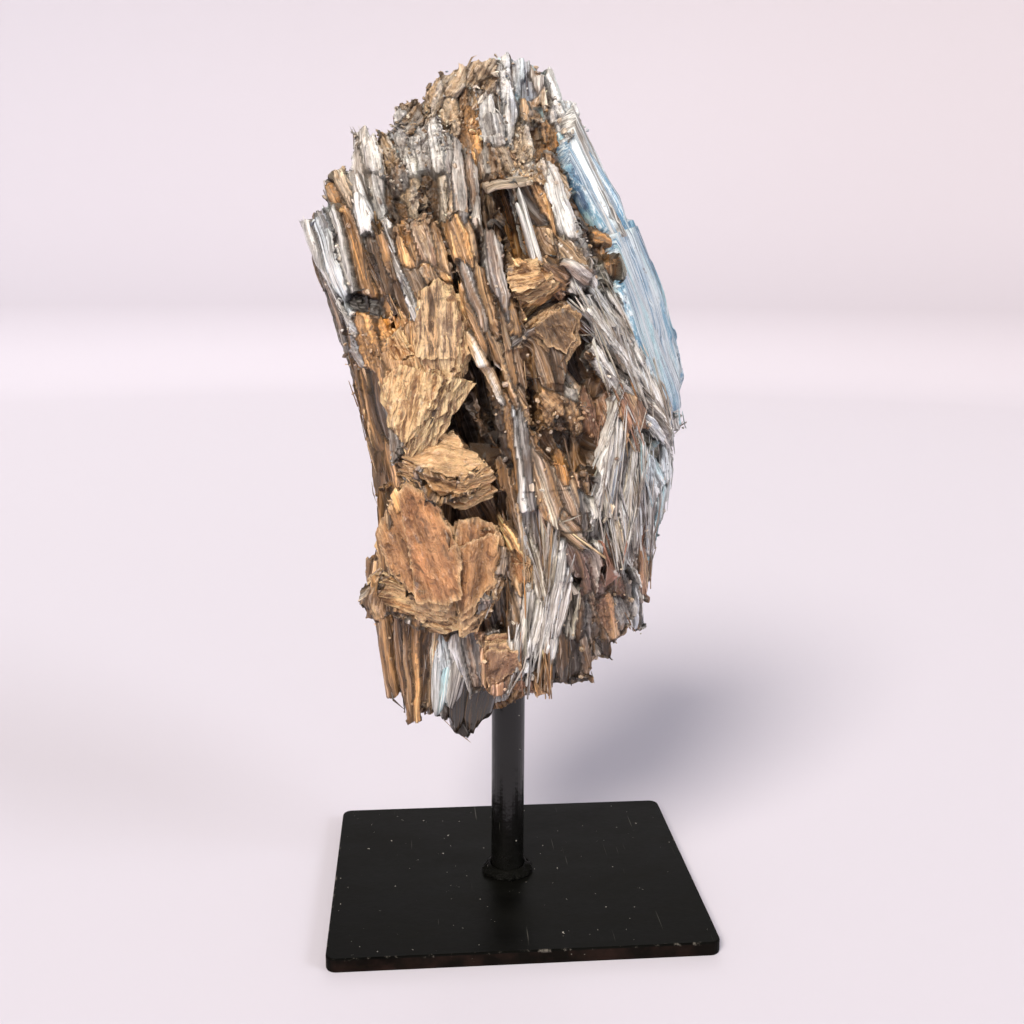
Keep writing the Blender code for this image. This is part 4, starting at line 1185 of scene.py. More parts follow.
def flat_faces(name, table, material):
    """Flat cleaved faces: each one a thick plate, gently ridged along its length."""
    chance = np.random.default_rng(211)
    heap = Heap()
    for corners, mix in table.values():
        side, way, outward = (np.array(Vector(axis)) for axis in plate_frame(corners)[1])
        bm = bmesh.new()
        face = bm.faces.new([bm.verts.new(corner) for corner in corners])
        bmesh.ops.poke(bm, faces=[face])
        bmesh.ops.subdivide_edges(bm, edges=bm.edges[:], cuts=11, use_grid_fill=True)
        front = set(verts_of(bmesh.ops.extrude_face_region(bm, geom=bm.faces[:])["geom"]))
        back = [vert for vert in bm.verts if vert not in front]
        bmesh.ops.translate(bm, vec=Vector(outward * FACE_PROUD), verts=list(front))
        bmesh.ops.translate(bm, vec=Vector(outward * -FACE_THICKNESS), verts=back)
        bmesh.ops.recalc_face_normals(bm, faces=bm.faces)
        points, faces = shape_of(bm)
        local = np.stack([points @ side, points @ outward, points @ way], 1)
        ridge = field(local, (0.3, 0.1, 0.02), 5) + 0.8 * field(local, (0.9, 0.1, 0.05), 9)
        step = np.round(1.6 * field(local, (0.2, 0.02, 0.016), 30)) * 0.6
        points = points + outward * (0.35 * ridge + step)[:, None]
        bands = cells(local, (3.5, 9, 60), np.array((7.0, 3.0, 1.0)))[0]
        # Painted light: the tint is lighter where the ridges raise the face.
        tints = streak_colours(np.full(len(points), MIX_NUMBERS[mix]), bands) * (1 + 0.25 * ridge[:, None])
        heap.add(points, faces, held(tints), local + chance.uniform(0, 900, 3))
    return piece_from(name, heap.mesh(name, smooth=True), material)


def large_blades(name, table, material, seed, strip_width, own, uneven):
    """Whole blades; own is how far they keep to their own colour, uneven how much their strips differ."""
    chance = np.random.default_rng(seed)
    heap = Heap()
    for blade in table.values():
        bundle(heap, blade, chance, strip_width, own, uneven)
    return piece_from(name, heap.mesh(name, smooth=True), material)


# ---------------------------------------------------------------- small crystals


def crystal_form(seed):
    """A slim crystal of unit size along +Z: a flattened, ridged bar with a broken tip."""
    chance = random.Random(seed)
    bm = bmesh.new()
    bmesh.ops.create_circle(bm, cap_ends=True, segments=5, radius=0.5)
    ridge = [chance.uniform(0.72, 1.12) for _ in bm.verts]
    for vert, swell in zip(bm.verts, ridge):
        vert.co.x *= swell
        vert.co.y *= swell
    top = bm.faces[:]
    for shrink in (0.97, 0.62):
        raised = bmesh.ops.extrude_face_region(bm, geom=top)["geom"]
        verts = verts_of(raised)
        top = [item for item in raised if isinstance(item, bmesh.types.BMFace)]
        bmesh.ops.scale(bm, vec=(shrink, shrink, 1), verts=verts)
        bmesh.ops.translate(bm, vec=(0, 0, 0.5), verts=verts)
        for vert in verts:
            vert.co.x += chance.uniform(-0.03, 0.03)
            vert.co.y += chance.uniform(-0.03, 0.03)
    slope = chance.uniform(-0.3, 0.3)
    for vert in top[0].verts:
        vert.co.z += slope * vert.co.x + chance.uniform(-0.06, 0.06)
    bmesh.ops.poke(bm, faces=top)
    bmesh.ops.recalc_face_normals(bm, faces=bm.faces)
    return shape_of(bm)


def surface_samples(mesh, count, chance, weight):
    """Points and normals spread over a mesh by area, times a weight for each face."""
    mesh.calc_loop_triangles()
    corners = np.empty(len(mesh.loop_triangles) * 3, int)
    mesh.loop_triangles.foreach_get("vertices", corners)
    points = np.empty(len(mesh.vertices) * 3)
    mesh.vertices.foreach_get("co", points)
    triangles = points.reshape(-1, 3)[corners.reshape(-1, 3)] / MM
    cross = np.cross(triangles[:, 1] - triangles[:, 0], triangles[:, 2] - triangles[:, 0])
    area = np.linalg.norm(cross, axis=1)
    normals = cross / np.maximum(area, 1e-9)[:, None]
    share = area * weight(triangles.mean(1), normals)
    chosen = chance.choice(len(triangles), count, p=share / share.sum())
    a, b = chance.random(count), chance.random(count)
    a, b = np.where(a + b > 1, 1 - a, a), np.where(a + b > 1, 1 - b, b)
    first, second, third = (triangles[chosen, i] for i in range(3))
    spots = first + (second - first) * a[:, None] + (third - first) * b[:, None]
    return spots, normals[chosen]


def front_first(centres, normals):
    """Weights for surface samples: more in front than behind, and none in the post's hole."""
    weight = np.where(normals[:, 1] < 0.2, 1.5, 1.0)
    return np.where(beside_post(centres, 9.5, 117), 0, weight)


def grow(heap, forms, spots, normals, sizes, chance, lift, stray, glow):
    """Lays crystals on the specimen's surface along its grain, or stands them up on its broken ends."""
    count = len(spots)
    width, thickness, length = (chance.uniform(*limits, count) for limits in sizes)
    axes = grain_at(spots)
    axes = unit(axes + chance.normal(0, stray, (count, 3)))
    lying = (axes * normals).sum(1, keepdims=True)
    broken_end = (lying[:, 0] > 0.62) | ((lying[:, 0] < -0.62) & (spots[:, 2] < 118))
    flat_axes = unit(axes - 0.93 * lying * normals)
    axes = np.where(broken_end[:, None], axes * np.sign(lying), flat_axes)
    facing = np.where(broken_end[:, None], np.array((0, -1, 0)) + chance.normal(0, 0.5, (count, 3)), normals)
    twist = chance.normal(0, 0.35, (count, 1))
    facing = unit(facing) + np.cross(axes, unit(facing)) * twist
    basis = frame_along(axes, facing)
    outward = chance.uniform(*lift, count)
    start = spots + normals * (outward - thickness / 2)[:, None] - axes * (length * 0.5)[:, None]
    reach = chance.uniform(0.05, 0.22, count) * np.minimum(length, 9)
    standing = spots - axes * (length - reach)[:, None]
    start = np.where(broken_end[:, None], standing, start)
    tints = held(glow * crystal_colours(spots, normals, chance))
    offset = chance.uniform(0, 900, (count, 3))
    kind = chance.integers(0, len(forms), count)
    rise = chance.normal(0.012, 0.02, count)
    for index, (points, faces) in enumerate(forms):
        here = np.flatnonzero(kind == index)
        size = np.stack([width[here], thickness[here], length[here]], 1)
        local = points[None] * size[:, None]
        local = local + chance.normal(0, 0.035, local.shape) * size[:, None] * np.array((1, 1, 0.2))
        local[:, :, 1] += rise[here, None] * local[:, :, 2]
        placed = start[here, None] + local @ basis[here]
        paler = 0.8 + 0.45 * points[None, :, 2:3] ** 3
        tint = (tints[here, None] * paler).clip(0, 0.9)
        heap.add_copies(placed, faces, tint, local + offset[here, None])


def over_plate(spots, corners, share=1.0):
    """How high each place lies over a flat plate's face, whether it is within a share of its outline, and
    the plate's outward direction."""
    middle, axes = plate_frame(corners)
    local = (spots - middle) @ axes.T
    shape = share * ((np.array(corners, float) - middle) @ axes.T)
    inside = np.zeros(len(spots), bool)
    for (x0, y0, _), (x1, y1, _) in zip(shape, np.roll(shape, -1, 0)):
        crosses = (y0 > local[:, 1]) != (y1 > local[:, 1])
        edge = x0 + (local[:, 1] - y0) / (y1 - y0 + 1e-9) * (x1 - x0)
        inside ^= crosses & (local[:, 0] < edge)
    return local[:, 2], inside & (np.abs(local[:, 2]) < 16), axes[2]


def all_plates():
    """Every blue face and mica book: its corners, how deep the stone lies beneath it, and in what share."""
    blue = [(corners, 1.5, 1.0) for corners, _ in (BLUE_FACES | PALE_FACES).values()]
    return blue + [(book[0], 2.2, 0.76) for book in (SHIELD_BOOKS | STREAKED_BOOKS).values()]


def off_plates(spots):
    """True for the places that no blue face and no book of mica covers."""
    clear = np.ones(len(spots), bool)
    for corners, _, _ in all_plates():
        clear &= ~over_plate(spots, corners)[1]
    return clear


def under_plates(points):
    """Sinks what lies within a plate's outline beneath the plate."""
    points = points.copy()
    for corners, depth, share in all_plates():
        height, inside, outward = over_plate(points, corners, share)
        points -= outward * (np.maximum(height + depth, 0) * inside)[:, None]
    return points


def off_blades(spots):
    """True for the places that no large blade covers."""
    clear = np.ones(len(spots), bool)
    for foot, tip, width, thickness, facing, taper, _ in (FEATURE_BLADES | SMOKY_BLADES).values():
        foot, tip = np.array(foot, float), np.array(tip, float)
        length = np.linalg.norm(tip - foot)
        basis = frame_along(unit(tip - foot), np.array(facing, float))
        local = (spots - foot) @ basis.T
        share = np.clip(local[:, 2] / length, 0, 1)
        inside = np.abs(local[:, 0]) < width / 2 * (1 - (1 - taper) * share**1.5) - 0.3
        inside &= (local[:, 1] > 0) & (local[:, 1] < thickness / 2 + 2)
        inside &= (local[:, 2] > 2) & (local[:, 2] < length - 1)
        clear &= ~inside
    return clear


def on_top(spots):
    """True for the places whose own front crystal doesn't lie deep."""
    return (FRONT_ROWS[nearest_front(spots)[0], 5] > -1.3) | (spots[:, 1] > 5)


def uncovered(spots):
    """True for the places where small crystals and grains can lie."""
    return off_plates(spots) & off_blades(spots) & on_top(spots)


# Where long pale fibres lie over the other crystals, as x, z and reach.
FIBROUS_PLACES = (
    (24, 208, 6),
    (31, 200, 6),
    (39, 192, 6),
    (46, 182, 5),
    (27, 166, 8),
    (34, 160, 9),
    (42, 144, 9),
    (32, 142, 7),
    (3, 112, 6),
    (9, 125, 6),
)


def fibrous(centres, normals):
    """Weights for surface samples: only where long pale fibres lie."""
    return nearness(centres, FIBROUS_PLACES) * (normals[:, 1] < 0.1) + 1e-9


def crystals(name, count, forms, sizes, seed, material, lift, stray, proud, weight, glow):
    """A piece of many small crystals; lift is how high they lie, stray how far they turn from the grain."""
    chance = np.random.default_rng(seed)
    spots, normals = surface_samples(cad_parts["specimen"].data, count, chance, weight)
    clear = uncovered(spots) & (crumbliness(spots) < 0.25) & (normals[:, 2] < 0.45)
    heap = Heap()
    grow(heap, forms, spots[clear], normals[clear], sizes, chance, lift, stray, glow)
    heap.press_down(proud)
    return piece_from(name, heap.mesh(name), material)


# ---------------------------------------------------------------- mica books

# Books of mica, as the corners of their front face, thickness, how much the front sheets are smaller
# than the back ones, how far the back sheets slip to the right and up, and the front and back mix.
SHIELD_BOOKS = {
    "left_shield": (
        (
            (-38, -42, 161), (-33, -43, 158), (-28, -45, 153), (-24, -46, 146), (-22, -47, 140),
            (-21, -48, 132), (-21, -48, 126), (-25, -47, 123), (-34, -46, 123), (-40, -44, 128),
            (-45, -42, 134), (-46, -42, 142), (-44, -41, 149), (-41, -42, 155),
        ),
        9, 0.1, (-3, -9), "copper", "gold",
    ),
    "right_shield": (
        (
            (-22, -45, 149), (-17, -44.5, 150), (-11, -44.5, 148), (-8, -44.5, 143), (-7, -45, 136),
            (-9, -45.5, 129), (-13, -46, 124), (-17, -46.5, 119), (-21, -46.5, 117), (-23, -46, 125),
            (-24, -45.5, 137),
        ),
        9, 0.1, (1.5, -8), "copper", "gold",
    ),
    "small_round": (
        (
            (-5, -44, 141), (-2, -44, 139), (0, -45, 134), (0, -44, 129), (-2, -43, 126), (-5, -43, 130),
            (-6, -43, 136),
        ),
        5, 0.3, (1, -2), "copper", "bronze",
    ),
    "brown_plate": (
        (
            (-1, -44, 207), (6, -43, 213), (12, -41, 215), (16, -40, 211), (15, -40, 203), (13, -42, 197),
            (5, -44, 202),
        ),
        6, 0.35, (0, -1), "sheet_brown", "wood",
    ),
    "pink_plate": (
        ((-13, -42, 106), (-3, -43, 107), (-2, -41, 99), (-6, -40, 92), (-11, -39, 91), (-13, -40, 96)),
        6, 0.1, (0, 3), "pink", "pink",
    ),
    "gold_book": (
        (
            (-23, -38, 175), (-18, -42, 171), (-12, -48, 165), (-21, -50, 162), (-29, -48, 164),
            (-39, -44, 167), (-32, -40, 171),
        ),
        11, 0.1, (1, -5), "pale_gold", "pale_gold",
    ),
    "gold_book_edge": (
        (
            (-39, -44, 166), (-29, -48, 163.5), (-21, -50, 161.5), (-12, -48, 164), (-13, -46, 159),
            (-20, -47, 157), (-28, -46, 154), (-33, -44, 159),
        ),
        6, 0.9, (0, 0), "gold", "bronze",
    ),
}
STREAKED_BOOKS = {
    "shield_ledge": (
        (
            (-51, -40, 129), (-46, -44, 133), (-37, -44, 127), (-25, -44, 122), (-18, -42, 118),
            (-14, -41, 121), (-15, -40, 115), (-24, -37, 108), (-30, -36, 110), (-38, -38, 116),
            (-48, -39, 122),
        ),
        12, 0.3, (3, -7), "gold", "gold",
    ),
    "wood_plate": (
        (
            (-33, -42, 218), (-28, -44, 222), (-23, -44, 217), (-20, -44, 208), (-20, -45, 201),
            (-22, -45, 195), (-27, -44, 192), (-32, -43, 192), (-34, -42, 198), (-35, -41, 204),
            (-34, -40, 211),
        ),
        6, 0.2, (2, -2), "driftwood", "pale_gold",
    ),
    "wood_plate_low": (
        (
            (-43, -38, 197), (-36, -40, 198), (-29, -43, 196), (-22, -45, 193), (-28, -46, 184),
            (-33, -46, 176), (-38, -45, 168), (-42, -43, 174), (-44, -41, 182), (-46, -38, 192),
        ),
        8, 0.3, (4, -3), "pale_gold", "pale_gold",
    ),
    "gold_patch": (
        (
            (-42, -38, 204), (-38, -39, 207), (-35, -40, 202), (-33, -41, 198), (-38, -40, 196),
            (-44, -38, 197),
        ),
        6, 0.3, (-1, -1), "orange", "orange",
    ),
    "hanging_book": (
        (
            (-7, -43, 225), (-3, -44, 227), (1, -46, 228), (5, -47, 225), (7, -48, 223), (3, -47, 220),
            (-2, -46, 218), (-6, -45, 218),
        ),
        6, 0.2, (1, -3), "gold", "bronze",
    ),
}
SHEET = 0.8  # thickness of one sheet
FRONT_SHEETS = 3  # the sheets at a book's front, which are creased and broken off


def mica_sheet(outline, grow_by, cuts, chance):
    """One sheet of a book, cut finely enough to bend."""
    bm = bmesh.new()
    corners = outline * grow_by + chance.uniform(-0.7, 0.7, outline.shape)
    face = bm.faces.new([bm.verts.new((x, y, 0)) for x, y in corners])
    bmesh.ops.poke(bm, faces=[face])
    bmesh.ops.subdivide_edges(bm, edges=bm.edges[:], cuts=cuts, use_grid_fill=True)
    return bm


def tear_edges(bm, seed):
    """Gives a sheet the torn edge of mica."""
    for vert in [vert for vert in bm.verts if vert.is_boundary]:
        tear = noise.noise(Vector((vert.co.x * 0.35, vert.co.y * 0.35, seed)))
        nick = noise.noise(Vector((vert.co.x * 1.2, vert.co.y * 1.2, seed)))
        vert.co.xy += vert.co.xy.normalized() * (1.3 * tear + 0.9 * nick)
    bmesh.ops.recalc_face_normals(bm, faces=bm.faces)


def break_off(bm, kept, chance):
    """Breaks a sheet off along a line, so far from its middle."""
    angle = chance.uniform(0, math.tau)
    away = Vector((math.cos(angle), math.sin(angle), 0))
    geom = bm.verts[:] + bm.edges[:] + bm.faces[:]
    bmesh.ops.bisect_plane(bm, geom=geom, plane_co=away * kept, plane_no=away, clear_outer=True)


def plate_frame(corners):
    """A flat plate's middle, and its own axes as rows: across, along (its long way) and outward."""
    corners = np.array(corners, float)
    middle = corners.mean(0)
    along, _, outward = np.linalg.svd(corners - middle)[2]
    if outward @ ((middle - (POST_X, 0, 0)) * (1, 1, 0)) < 0:
        outward = -outward
    return middle, np.stack([np.cross(along, outward), along, outward])


def edge_distance(points, outline):
    """How far each point lies from a closed outline."""
    ends = np.roll(outline, -1, 0) - outline
    away = points[:, None, :2] - outline
    share = np.clip((away * ends).sum(2) / (ends**2).sum(1), 0, 1)
    return np.linalg.norm(away - share[:, :, None] * ends, axis=2).min(1)


def torn_sheet(outline, grow_by, in_front, broken, seed, chance):
    """One sheet of a book: its points, its faces, and 1 for the points on its sharp edges."""
    bm = mica_sheet(outline, grow_by, 8 if in_front else 4, chance)
    if broken:
        break_off(bm, np.ptp(outline, axis=0).min() * chance.uniform(0.15, 0.5), chance)
    tear_edges(bm, seed)
    top = verts_of(bmesh.ops.extrude_face_region(bm, geom=bm.faces[:])["geom"])
    bmesh.ops.translate(bm, vec=(0, 0, SHEET * chance.uniform(0.6, 1.0)), verts=top)
    bmesh.ops.recalc_face_normals(bm, faces=bm.faces)
    edges = {vert for edge in bm.edges if edge.calc_face_angle(0) > 0.6 for vert in edge.verts}
    # glint marks the sharp edges, where a highlight is painted.
    glint = np.array([[1.0 if vert in edges else 0.0] for vert in bm.verts])
    return *shape_of(bm), glint


def stack_sheets(heap, book, number, seed, chance):
    """Adds one book of mica to a heap."""
    corners, thickness, taper, slip, front_mix, back_mix = book
    middle, axes = plate_frame(corners)
    outline = ((np.array(corners, float) - middle) @ axes.T)[:, :2]
    slip = (axes @ (slip[0], 0, slip[1]))[:2]
    sheets = int((thickness + 1) / SHEET)
    for level in range(sheets):
        depth = 1 - level / (sheets - 1)
        grow_by = 1.05 - taper * max(0.0, 0.65 - depth) + chance.uniform(-0.08, 0.05)
        in_front = level >= sheets - FRONT_SHEETS
        broken = in_front and taper < 0.6
        edge_seed = number * 31 + level + seed
        points, faces, glint = torn_sheet(outline, grow_by, in_front, broken, edge_seed, chance)
        rim = np.exp(-edge_distance(points, outline * grow_by) / 1.3)[:, None] * in_front
        points[:, :2] += chance.normal(0, 0.4, 2) + slip * max(0.0, depth - 0.2)
        warp = field(points * (1, 1, 0), 0.07, number * 5)
        ripple = field(points * (1, 0.3, 0), 0.3, number * 5 + level)
        fold = field(points * (0.3, 0.05, 0), 1, number * 7)
        crinkle = field(points * (0.9, 0.3, 0), 1, number * 7 + level)
        crease = abs(field(points * (0.16, 0.1, 0), 1, number * 11 + 4))
        bent = 1.1 * fold + 0.5 * crinkle + 3.0 * crease - 0.9
        points[:, 2] += 0.3 - thickness + level * SHEET + 1.6 * warp + 0.4 * ripple + bent * in_front
        own = colours_of_mix(front_mix if in_front else back_mix, 1, chance)[0]
        tint = (mean_of_mix(front_mix) * 0.7 + own * 0.3) if in_front else own
        # Near its edge a front sheet takes the back mix's colour: partly the sheets behind, partly a painted
        # gold glint along the layered edges.
        tints = tint * math.exp(chance.normal(0, 0.2)) * (1 - rim) + mean_of_mix(back_mix) * rim
        # Painted light and shade: lighter where ripples, creases and folds raise the sheet, darker where
        # they sink it.
        tints = tints * (1.1 + 0.5 * ripple + 0.8 * (crease - 0.2) + 0.4 * fold)[:, None]
        # Painted highlight: the sharp edges are lit bright gold.
        tints += 0.75 * glint * (BRIGHT_GOLD * 1.1 - tints)
        grain = points + np.array((0, 0, level * 3.0)) + number * 50
        heap.add(middle + points @ axes, faces, held(tints), grain)


def mica_books(name, books, seed, material):
    """Stacks of thin sheets with torn edges, each stack bent as one."""
    chance = np.random.default_rng(seed)
    heap = Heap()
    for number, book in enumerate(books.values()):
        stack_sheets(heap, book, number, seed, chance)
    heap.press_down(3.5)
    return piece_from(name, heap.mesh(name), material)


# ---------------------------------------------------------------- crumbs

CRUMBS = 6500  # at most


def crumb_form(seed):
    """A grain of unit size."""
    chance = random.Random(seed)
    bm = bmesh.new()
    bmesh.ops.create_icosphere(bm, subdivisions=1, radius=0.5)
    for vert in bm.verts:
        vert.co *= chance.uniform(0.7, 1.25)
    return shape_of(bm)


def crumbs(material):
    """Grains of matrix, thickest where it has crumbled."""
    chance = np.random.default_rng(91)
    spots, normals = surface_samples(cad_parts["specimen"].data, CRUMBS * 4, chance, front_first)
    facing_up = np.clip(normals[:, 2], 0, 1) * (spots[:, 2] > 225)
    keep = chance.random(len(spots)) < 0.04 + 0.8 * crumbliness(spots) * (0.35 + 0.65 * facing_up)
    keep &= uncovered(spots)
    spots, normals = spots[keep][:CRUMBS], normals[keep][:CRUMBS]
    number = len(spots)
    size = np.exp(chance.normal(-0.05, 0.42, number)).clip(0.4, 2.2)
    turn = unit(chance.normal(0, 1, (number, 3)))
    basis = frame_along(turn, unit(chance.normal(0, 1, (number, 3))))
    tints = crystal_colours(spots, normals, chance) * 0.6
    tints = held(tints + 0.55 * colours_of_mix("crumb", number, chance))
    heap = Heap()
    forms = [crumb_form(seed) for seed in range(5)]
    kind = chance.integers(0, len(forms), number)
    lift = chance.uniform(-0.3, 0.5, (number, 1)) * size[:, None]
    for index, (points, faces) in enumerate(forms):
        here = np.flatnonzero(kind == index)
        length = size[here] * chance.uniform(0.8, 1.8, len(here))
        stretch = np.stack([size[here], size[here] * 0.8, length], 1)
        local = points[None] * stretch[:, None]
        placed = (spots + normals * lift)[here, None] + local @ basis[here]
        tint = np.repeat(tints[here, None], len(points), 1)
        heap.add_copies(placed, faces, tint, local + chance.uniform(0, 900, (len(here), 1, 3)))
    return piece_from("matrix_crumbs", heap.mesh("matrix_crumbs"), material)


# ---------------------------------------------------------------- the stand


def paint_finish(name, worn_reach=None, grit=0.0, gloss=0.02, smoothest=0.32):
    """Black satin paint: dust specks, fine scratches, lumps, and wear along a plate's edges."""
    made = Finish(name)
    place = made.place()
    lumps = made.noise(place, 260, detail=3)
    smears = made.noise(place, (30, 90, 30), detail=5, roughness=0.65, turn=(0, 0, 0.4))
    specks = made.noise(place, 700, detail=2, roughness=0.4)
    scratches = made.noise(place, (900, 25, 60), detail=2, turn=(0, 0, 0.7))
    base = made.over(linear(6, 6, 5), smears, 0.35, 0.7, 1, linear(16, 16, 14))
    base = made.over(base, scratches, 0.73, 0.78, 0.35, linear(110, 108, 100))
    base = made.over(base, specks, 0.765, 0.79, 0.8, linear(190, 186, 176))
    if worn_reach:
        base = worn_edges(made, base, *worn_reach)
    rough = made.between(smears, 0.3, 0.7, smoothest, smoothest + 0.15)
    made.set(Base_Color=base, Roughness=rough, Specular_IOR_Level=gloss)
    made.bump(made.sum(lumps, made.times(smears, 0.4)), 0.25 + grit, 0.3 + grit)
    return made.material


def worn_edges(made, base, half_width, half_depth, top):
    """Bright chips along the plate's top edge, and rust-brown paint down its sides."""
    place = made.place()
    x, y, z = made.add("SeparateXYZ", {0: place}).outputs
    to_side = made.maths("SUBTRACT", half_width * MM, made.maths("ABSOLUTE", x, 0))
    to_front = made.maths("SUBTRACT", half_depth * MM, made.maths("ABSOLUTE", y, 0))
    near_edge = made.between(made.maths("MINIMUM", to_side, to_front), 0.0, 0.9 * MM, 1, 0)
    near_top = made.between(z, (top - 1.0) * MM, (top - 0.2) * MM)
    on_side = made.between(z, (top - 0.7) * MM, (top - 0.4) * MM, 1, 0)
    chips = made.between(made.noise(place, 260, detail=5, roughness=0.7), 0.58, 0.68)
    rust = made.between(made.noise(place, 120, detail=5), 0.45, 0.7, 0.1, 0.7)
    rusted = made.times(made.times(on_side, near_edge), rust)
    worn = made.times(made.times(made.times(near_edge, near_top), chips), 0.6)
    return made.mix(worn, made.mix(rusted, base, linear(40, 28, 24)), linear(150, 144, 134))


def epoxy_finish():
    """Black glue, lumpy and half glossy."""
    made = Finish("black_epoxy")
    lumps = made.noise(made.place(), 420, detail=4)
    base = made.over(linear(18, 17, 16), lumps, 0.4, 0.7, 1, linear(44, 41, 38))
    made.set(Base_Color=base, Roughness=made.between(lumps, 0.3, 0.7, 0.2, 0.4))
    made.bump(lumps, 0.5, 0.5)
    return made.material


def weathered_copy(name, node, voxel, lumps, seed, material):
    """A node's own form with a lumpy surface."""
    mesh = even_mesh(name, welded_copy(node), voxel)
    low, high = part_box(node)
    for vert in mesh.vertices:
        spot = vert.co / MM
        lump = noise.noise(spot * 0.45 + Vector((seed, 0, 0))) + 0.6 * noise.noise(spot * 1.3)
        outward = Vector((spot.x - POST_X, spot.y, 0)).normalized()
        away = math.hypot(spot.x - POST_X, spot.y) - POST_RADIUS
        share = min(1.0, max(0.0, (away - 0.8) / 1.5))
        vert.co += (outward + Vector((0, 0, 0.4))) * (lumps * lump * share * MM)
        for axis in range(3):
            vert.co[axis] = min(max(vert.co[axis], low[axis]), high[axis])
    mesh.update()
    mesh.shade_smooth()
    return piece_from(name, mesh, material, node)


def dress_stand():
    """Paint for the plate and the post, and lumpy forms for the weld and the glue."""
    plate_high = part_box("base_plate")[1]
    reach = (plate_high.x / MM, plate_high.y / MM, plate_high.z / MM)
    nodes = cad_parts
    nodes["base_plate"].data.materials[0] = paint_finish("plate_paint", reach)
    nodes["post"].data.materials[0] = paint_finish("post_paint", grit=0.15, gloss=0.45, smoothest=0.16)
    weld_paint = paint_finish("weld_paint", grit=0.4)
    weathered_copy("weld_bead", "foot_weld", 0.35, 0.9, 4, weld_paint)
    weathered_copy("epoxy_lump", "epoxy_collar", 0.6, 0.5, 8, epoxy_finish())


# ---------------------------------------------------------------- the studio


def camera():
    """Eye level with the specimen's upper third, a little to the left, looking down by 12 degrees."""
    place = Vector((-35.0, -386.0, 223.3)) * MM
    turn_right, down, roll = (math.radians(angle) for angle in (5.02, 11.9, 0.37))
    ahead = math.cos(down)
    looking = Vector((math.sin(turn_right) * ahead, math.cos(turn_right) * ahead, -math.sin(down)))
    right = looking.cross(Vector((0, 0, 1))).normalized()
    up = right.cross(looking)
    right, up = right * math.cos(roll) + up * math.sin(roll), up * math.cos(roll) - right * math.sin(roll)
    made = bpy.data.objects.new("camera", bpy.data.cameras.new("camera"))
    bpy.context.scene.collection.objects.link(made)
    made.data.sensor_width = 36
    made.data.lens = 39.84
    made.data.clip_start = 0.01
    turn = Matrix((right, up, -looking)).transposed().to_4x4()
    turn.translation = place
    made.matrix_world = turn
    bpy.context.scene.camera = made


def soft_sun(name, coming_from, strength, spread, tint):
    """Even light from one side, as from a large panel far away."""
    light = bpy.data.lights.new(name, "SUN")
    light.energy = strength
    light.angle = math.radians(spread)
    light.color = tint
    made = bpy.data.objects.new(name, light)
    bpy.context.scene.collection.objects.link(made)
    made.rotation_euler = (-Vector(coming_from)).to_track_quat("-Z", "Y").to_euler()


def floor_form():
    """A floor that curves up into a wall all round, far from the specimen; sizes in metres."""
    bm = bmesh.new()
    flat, bend = 1.8, 1.2
    profile = [(0.0, 0.0), (flat, 0.0)]
    for turn in np.radians(range(6, 91, 6)):
        profile.append((flat + bend * math.sin(turn), bend - bend * math.cos(turn)))
    verts = [bm.verts.new((radius, 0, height)) for radius, height in profile]
    for first, second in zip(verts, verts[1:]):
        bm.edges.new((first, second))
    once_round = {"axis": (0, 0, 1), "cent": (0, 0, 0), "angle": math.tau, "steps": 64}
    bmesh.ops.spin(bm, geom=bm.verts[:] + bm.edges[:], use_merge=True, **once_round)
    bmesh.ops.remove_doubles(bm, verts=bm.verts, dist=0.0001)
    bmesh.ops.recalc_face_normals(bm, faces=bm.faces)
    if min(bm.faces, key=lambda face: face.calc_center_median().length).normal.z < 0:
        bmesh.ops.reverse_faces(bm, faces=bm.faces)
    mesh = bpy.data.meshes.new("floor")
    bm.to_mesh(mesh)
    bm.free()
    mesh.shade_smooth()
    return mesh


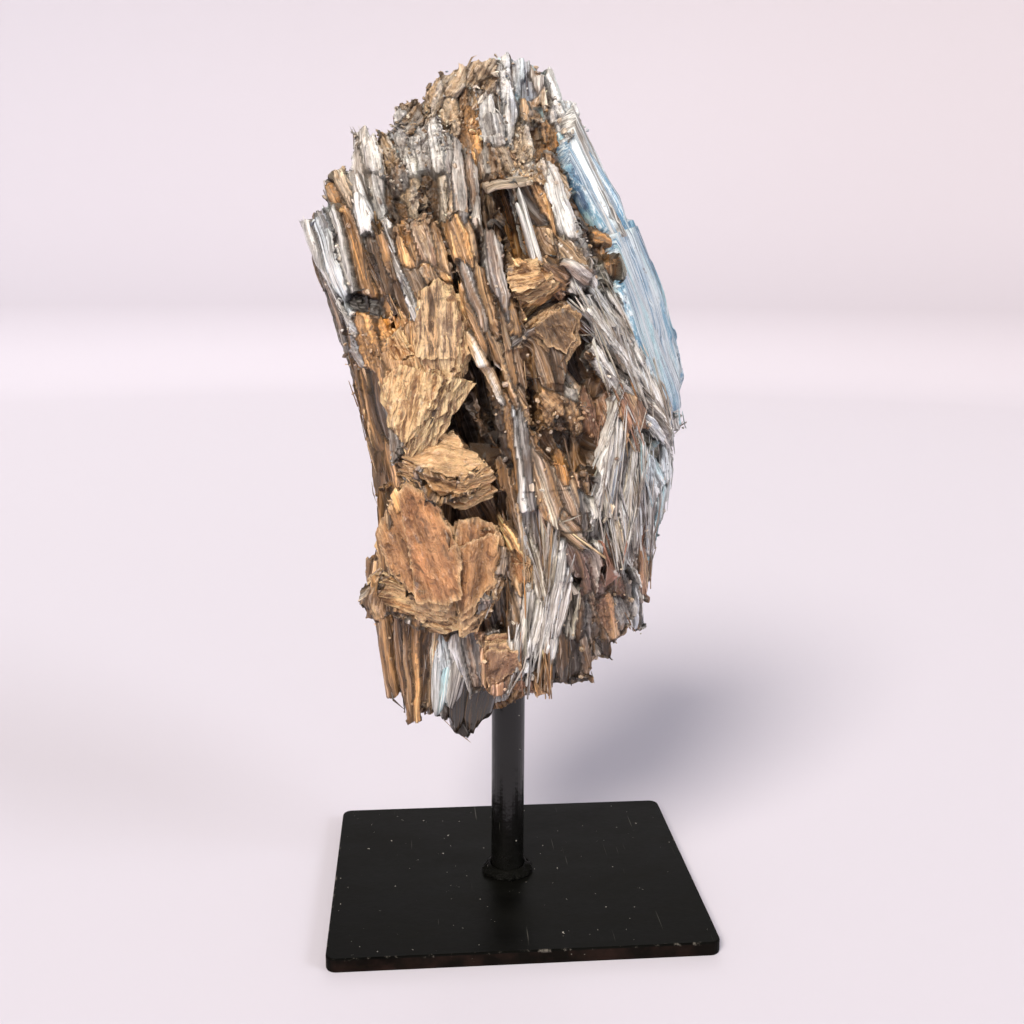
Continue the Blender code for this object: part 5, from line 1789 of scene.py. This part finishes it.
def paper_finish():
    """Pale paper, darker on the wall, which glows a little, most of all on the camera's side."""
    made = Finish("pale_paper")
    _, y, z = made.add("SeparateXYZ", {0: made.place()}).outputs
    tone = made.over(linear(211, 207, 219), z, 0.0, 0.15, 1, linear(179, 174, 185))
    tone = made.over(tone, z, 0.15, 1.0, 1, linear(190, 185, 194))
    on_wall = made.between(made.maths("POWER", z, 0.5), 0.0, 0.6)
    glow = made.times(on_wall, made.between(y, 3.0, -3.0, 0.0, 0.7))
    made.set(Base_Color=tone, Roughness=0.9, Emission_Color=linear(240, 229, 235), Emission_Strength=glow)
    return made.material


def studio():
    """A pale floor that curves up far away all round, soft light, and an even pale sky."""
    mesh = floor_form()
    floor = bpy.data.objects.new("floor", mesh)
    bpy.context.scene.collection.objects.link(floor)
    mesh.materials.append(paper_finish())
    world = bpy.data.worlds.new("studio")
    world.use_nodes = True
    sky = world.node_tree.nodes["Background"].inputs
    sky["Color"].default_value = colour(linear(244, 240, 244))
    sky["Strength"].default_value = 0.26
    bpy.context.scene.world = world
    soft_sun("warm_key", (-0.45, -0.75, 0.8), 3.6, 26, (1.0, 0.92, 0.81))
    soft_sun("cool_side", (0.8, -0.5, 0.45), 1.55, 24, (0.94, 0.98, 1.0))
    soft_sun("back_fill", (0.1, 0.9, 0.6), 0.5, 30, (1.0, 0.98, 0.96))
    bpy.context.scene.view_settings.view_transform = "Standard"


# ---------------------------------------------------------------- all together


def build():
    """The camera and the studio first, then the stand, then the stone from its body out to its crumbs."""
    camera()
    studio()
    dress_stand()
    crystal = crystal_finish()
    matrix = matrix_finish()
    stone_body(matrix)
    flat_faces("blue_faces", BLUE_FACES, blue_finish())
    flat_faces("pale_face", PALE_FACES, matrix)
    large_blades("feature_blades", FEATURE_BLADES, matrix, 151, strip_width=3.2, own=0.9, uneven=0.2)
    large_blades("smoky_tip", SMOKY_BLADES, smoky_finish(), 301, strip_width=9.0, own=1.0, uneven=0.05)
    mica_books("mica_books", SHIELD_BOOKS, 71, mica_finish("mica_sheets", 0.25))
    mica_books("streaked_mica_books", STREAKED_BOOKS, 83, mica_finish("streaked_mica", 0.85))
    slim = [crystal_form(seed + 40) for seed in range(8)]
    short = ((0.3, 0.8), (0.3, 0.6), (3, 10))
    crystals("splinters", 2200, slim, short, 12, crystal, (-0.3, 0.05), 0.1, 0.5, front_first, 1.0)
    long = ((0.35, 0.9), (0.3, 0.6), (9, 24))
    crystals("pale_fibres", 800, slim, long, 14, crystal, (0.1, 0.5), 0.08, 1.2, fibrous, 1.5)
    crumbs(matrix)


build()
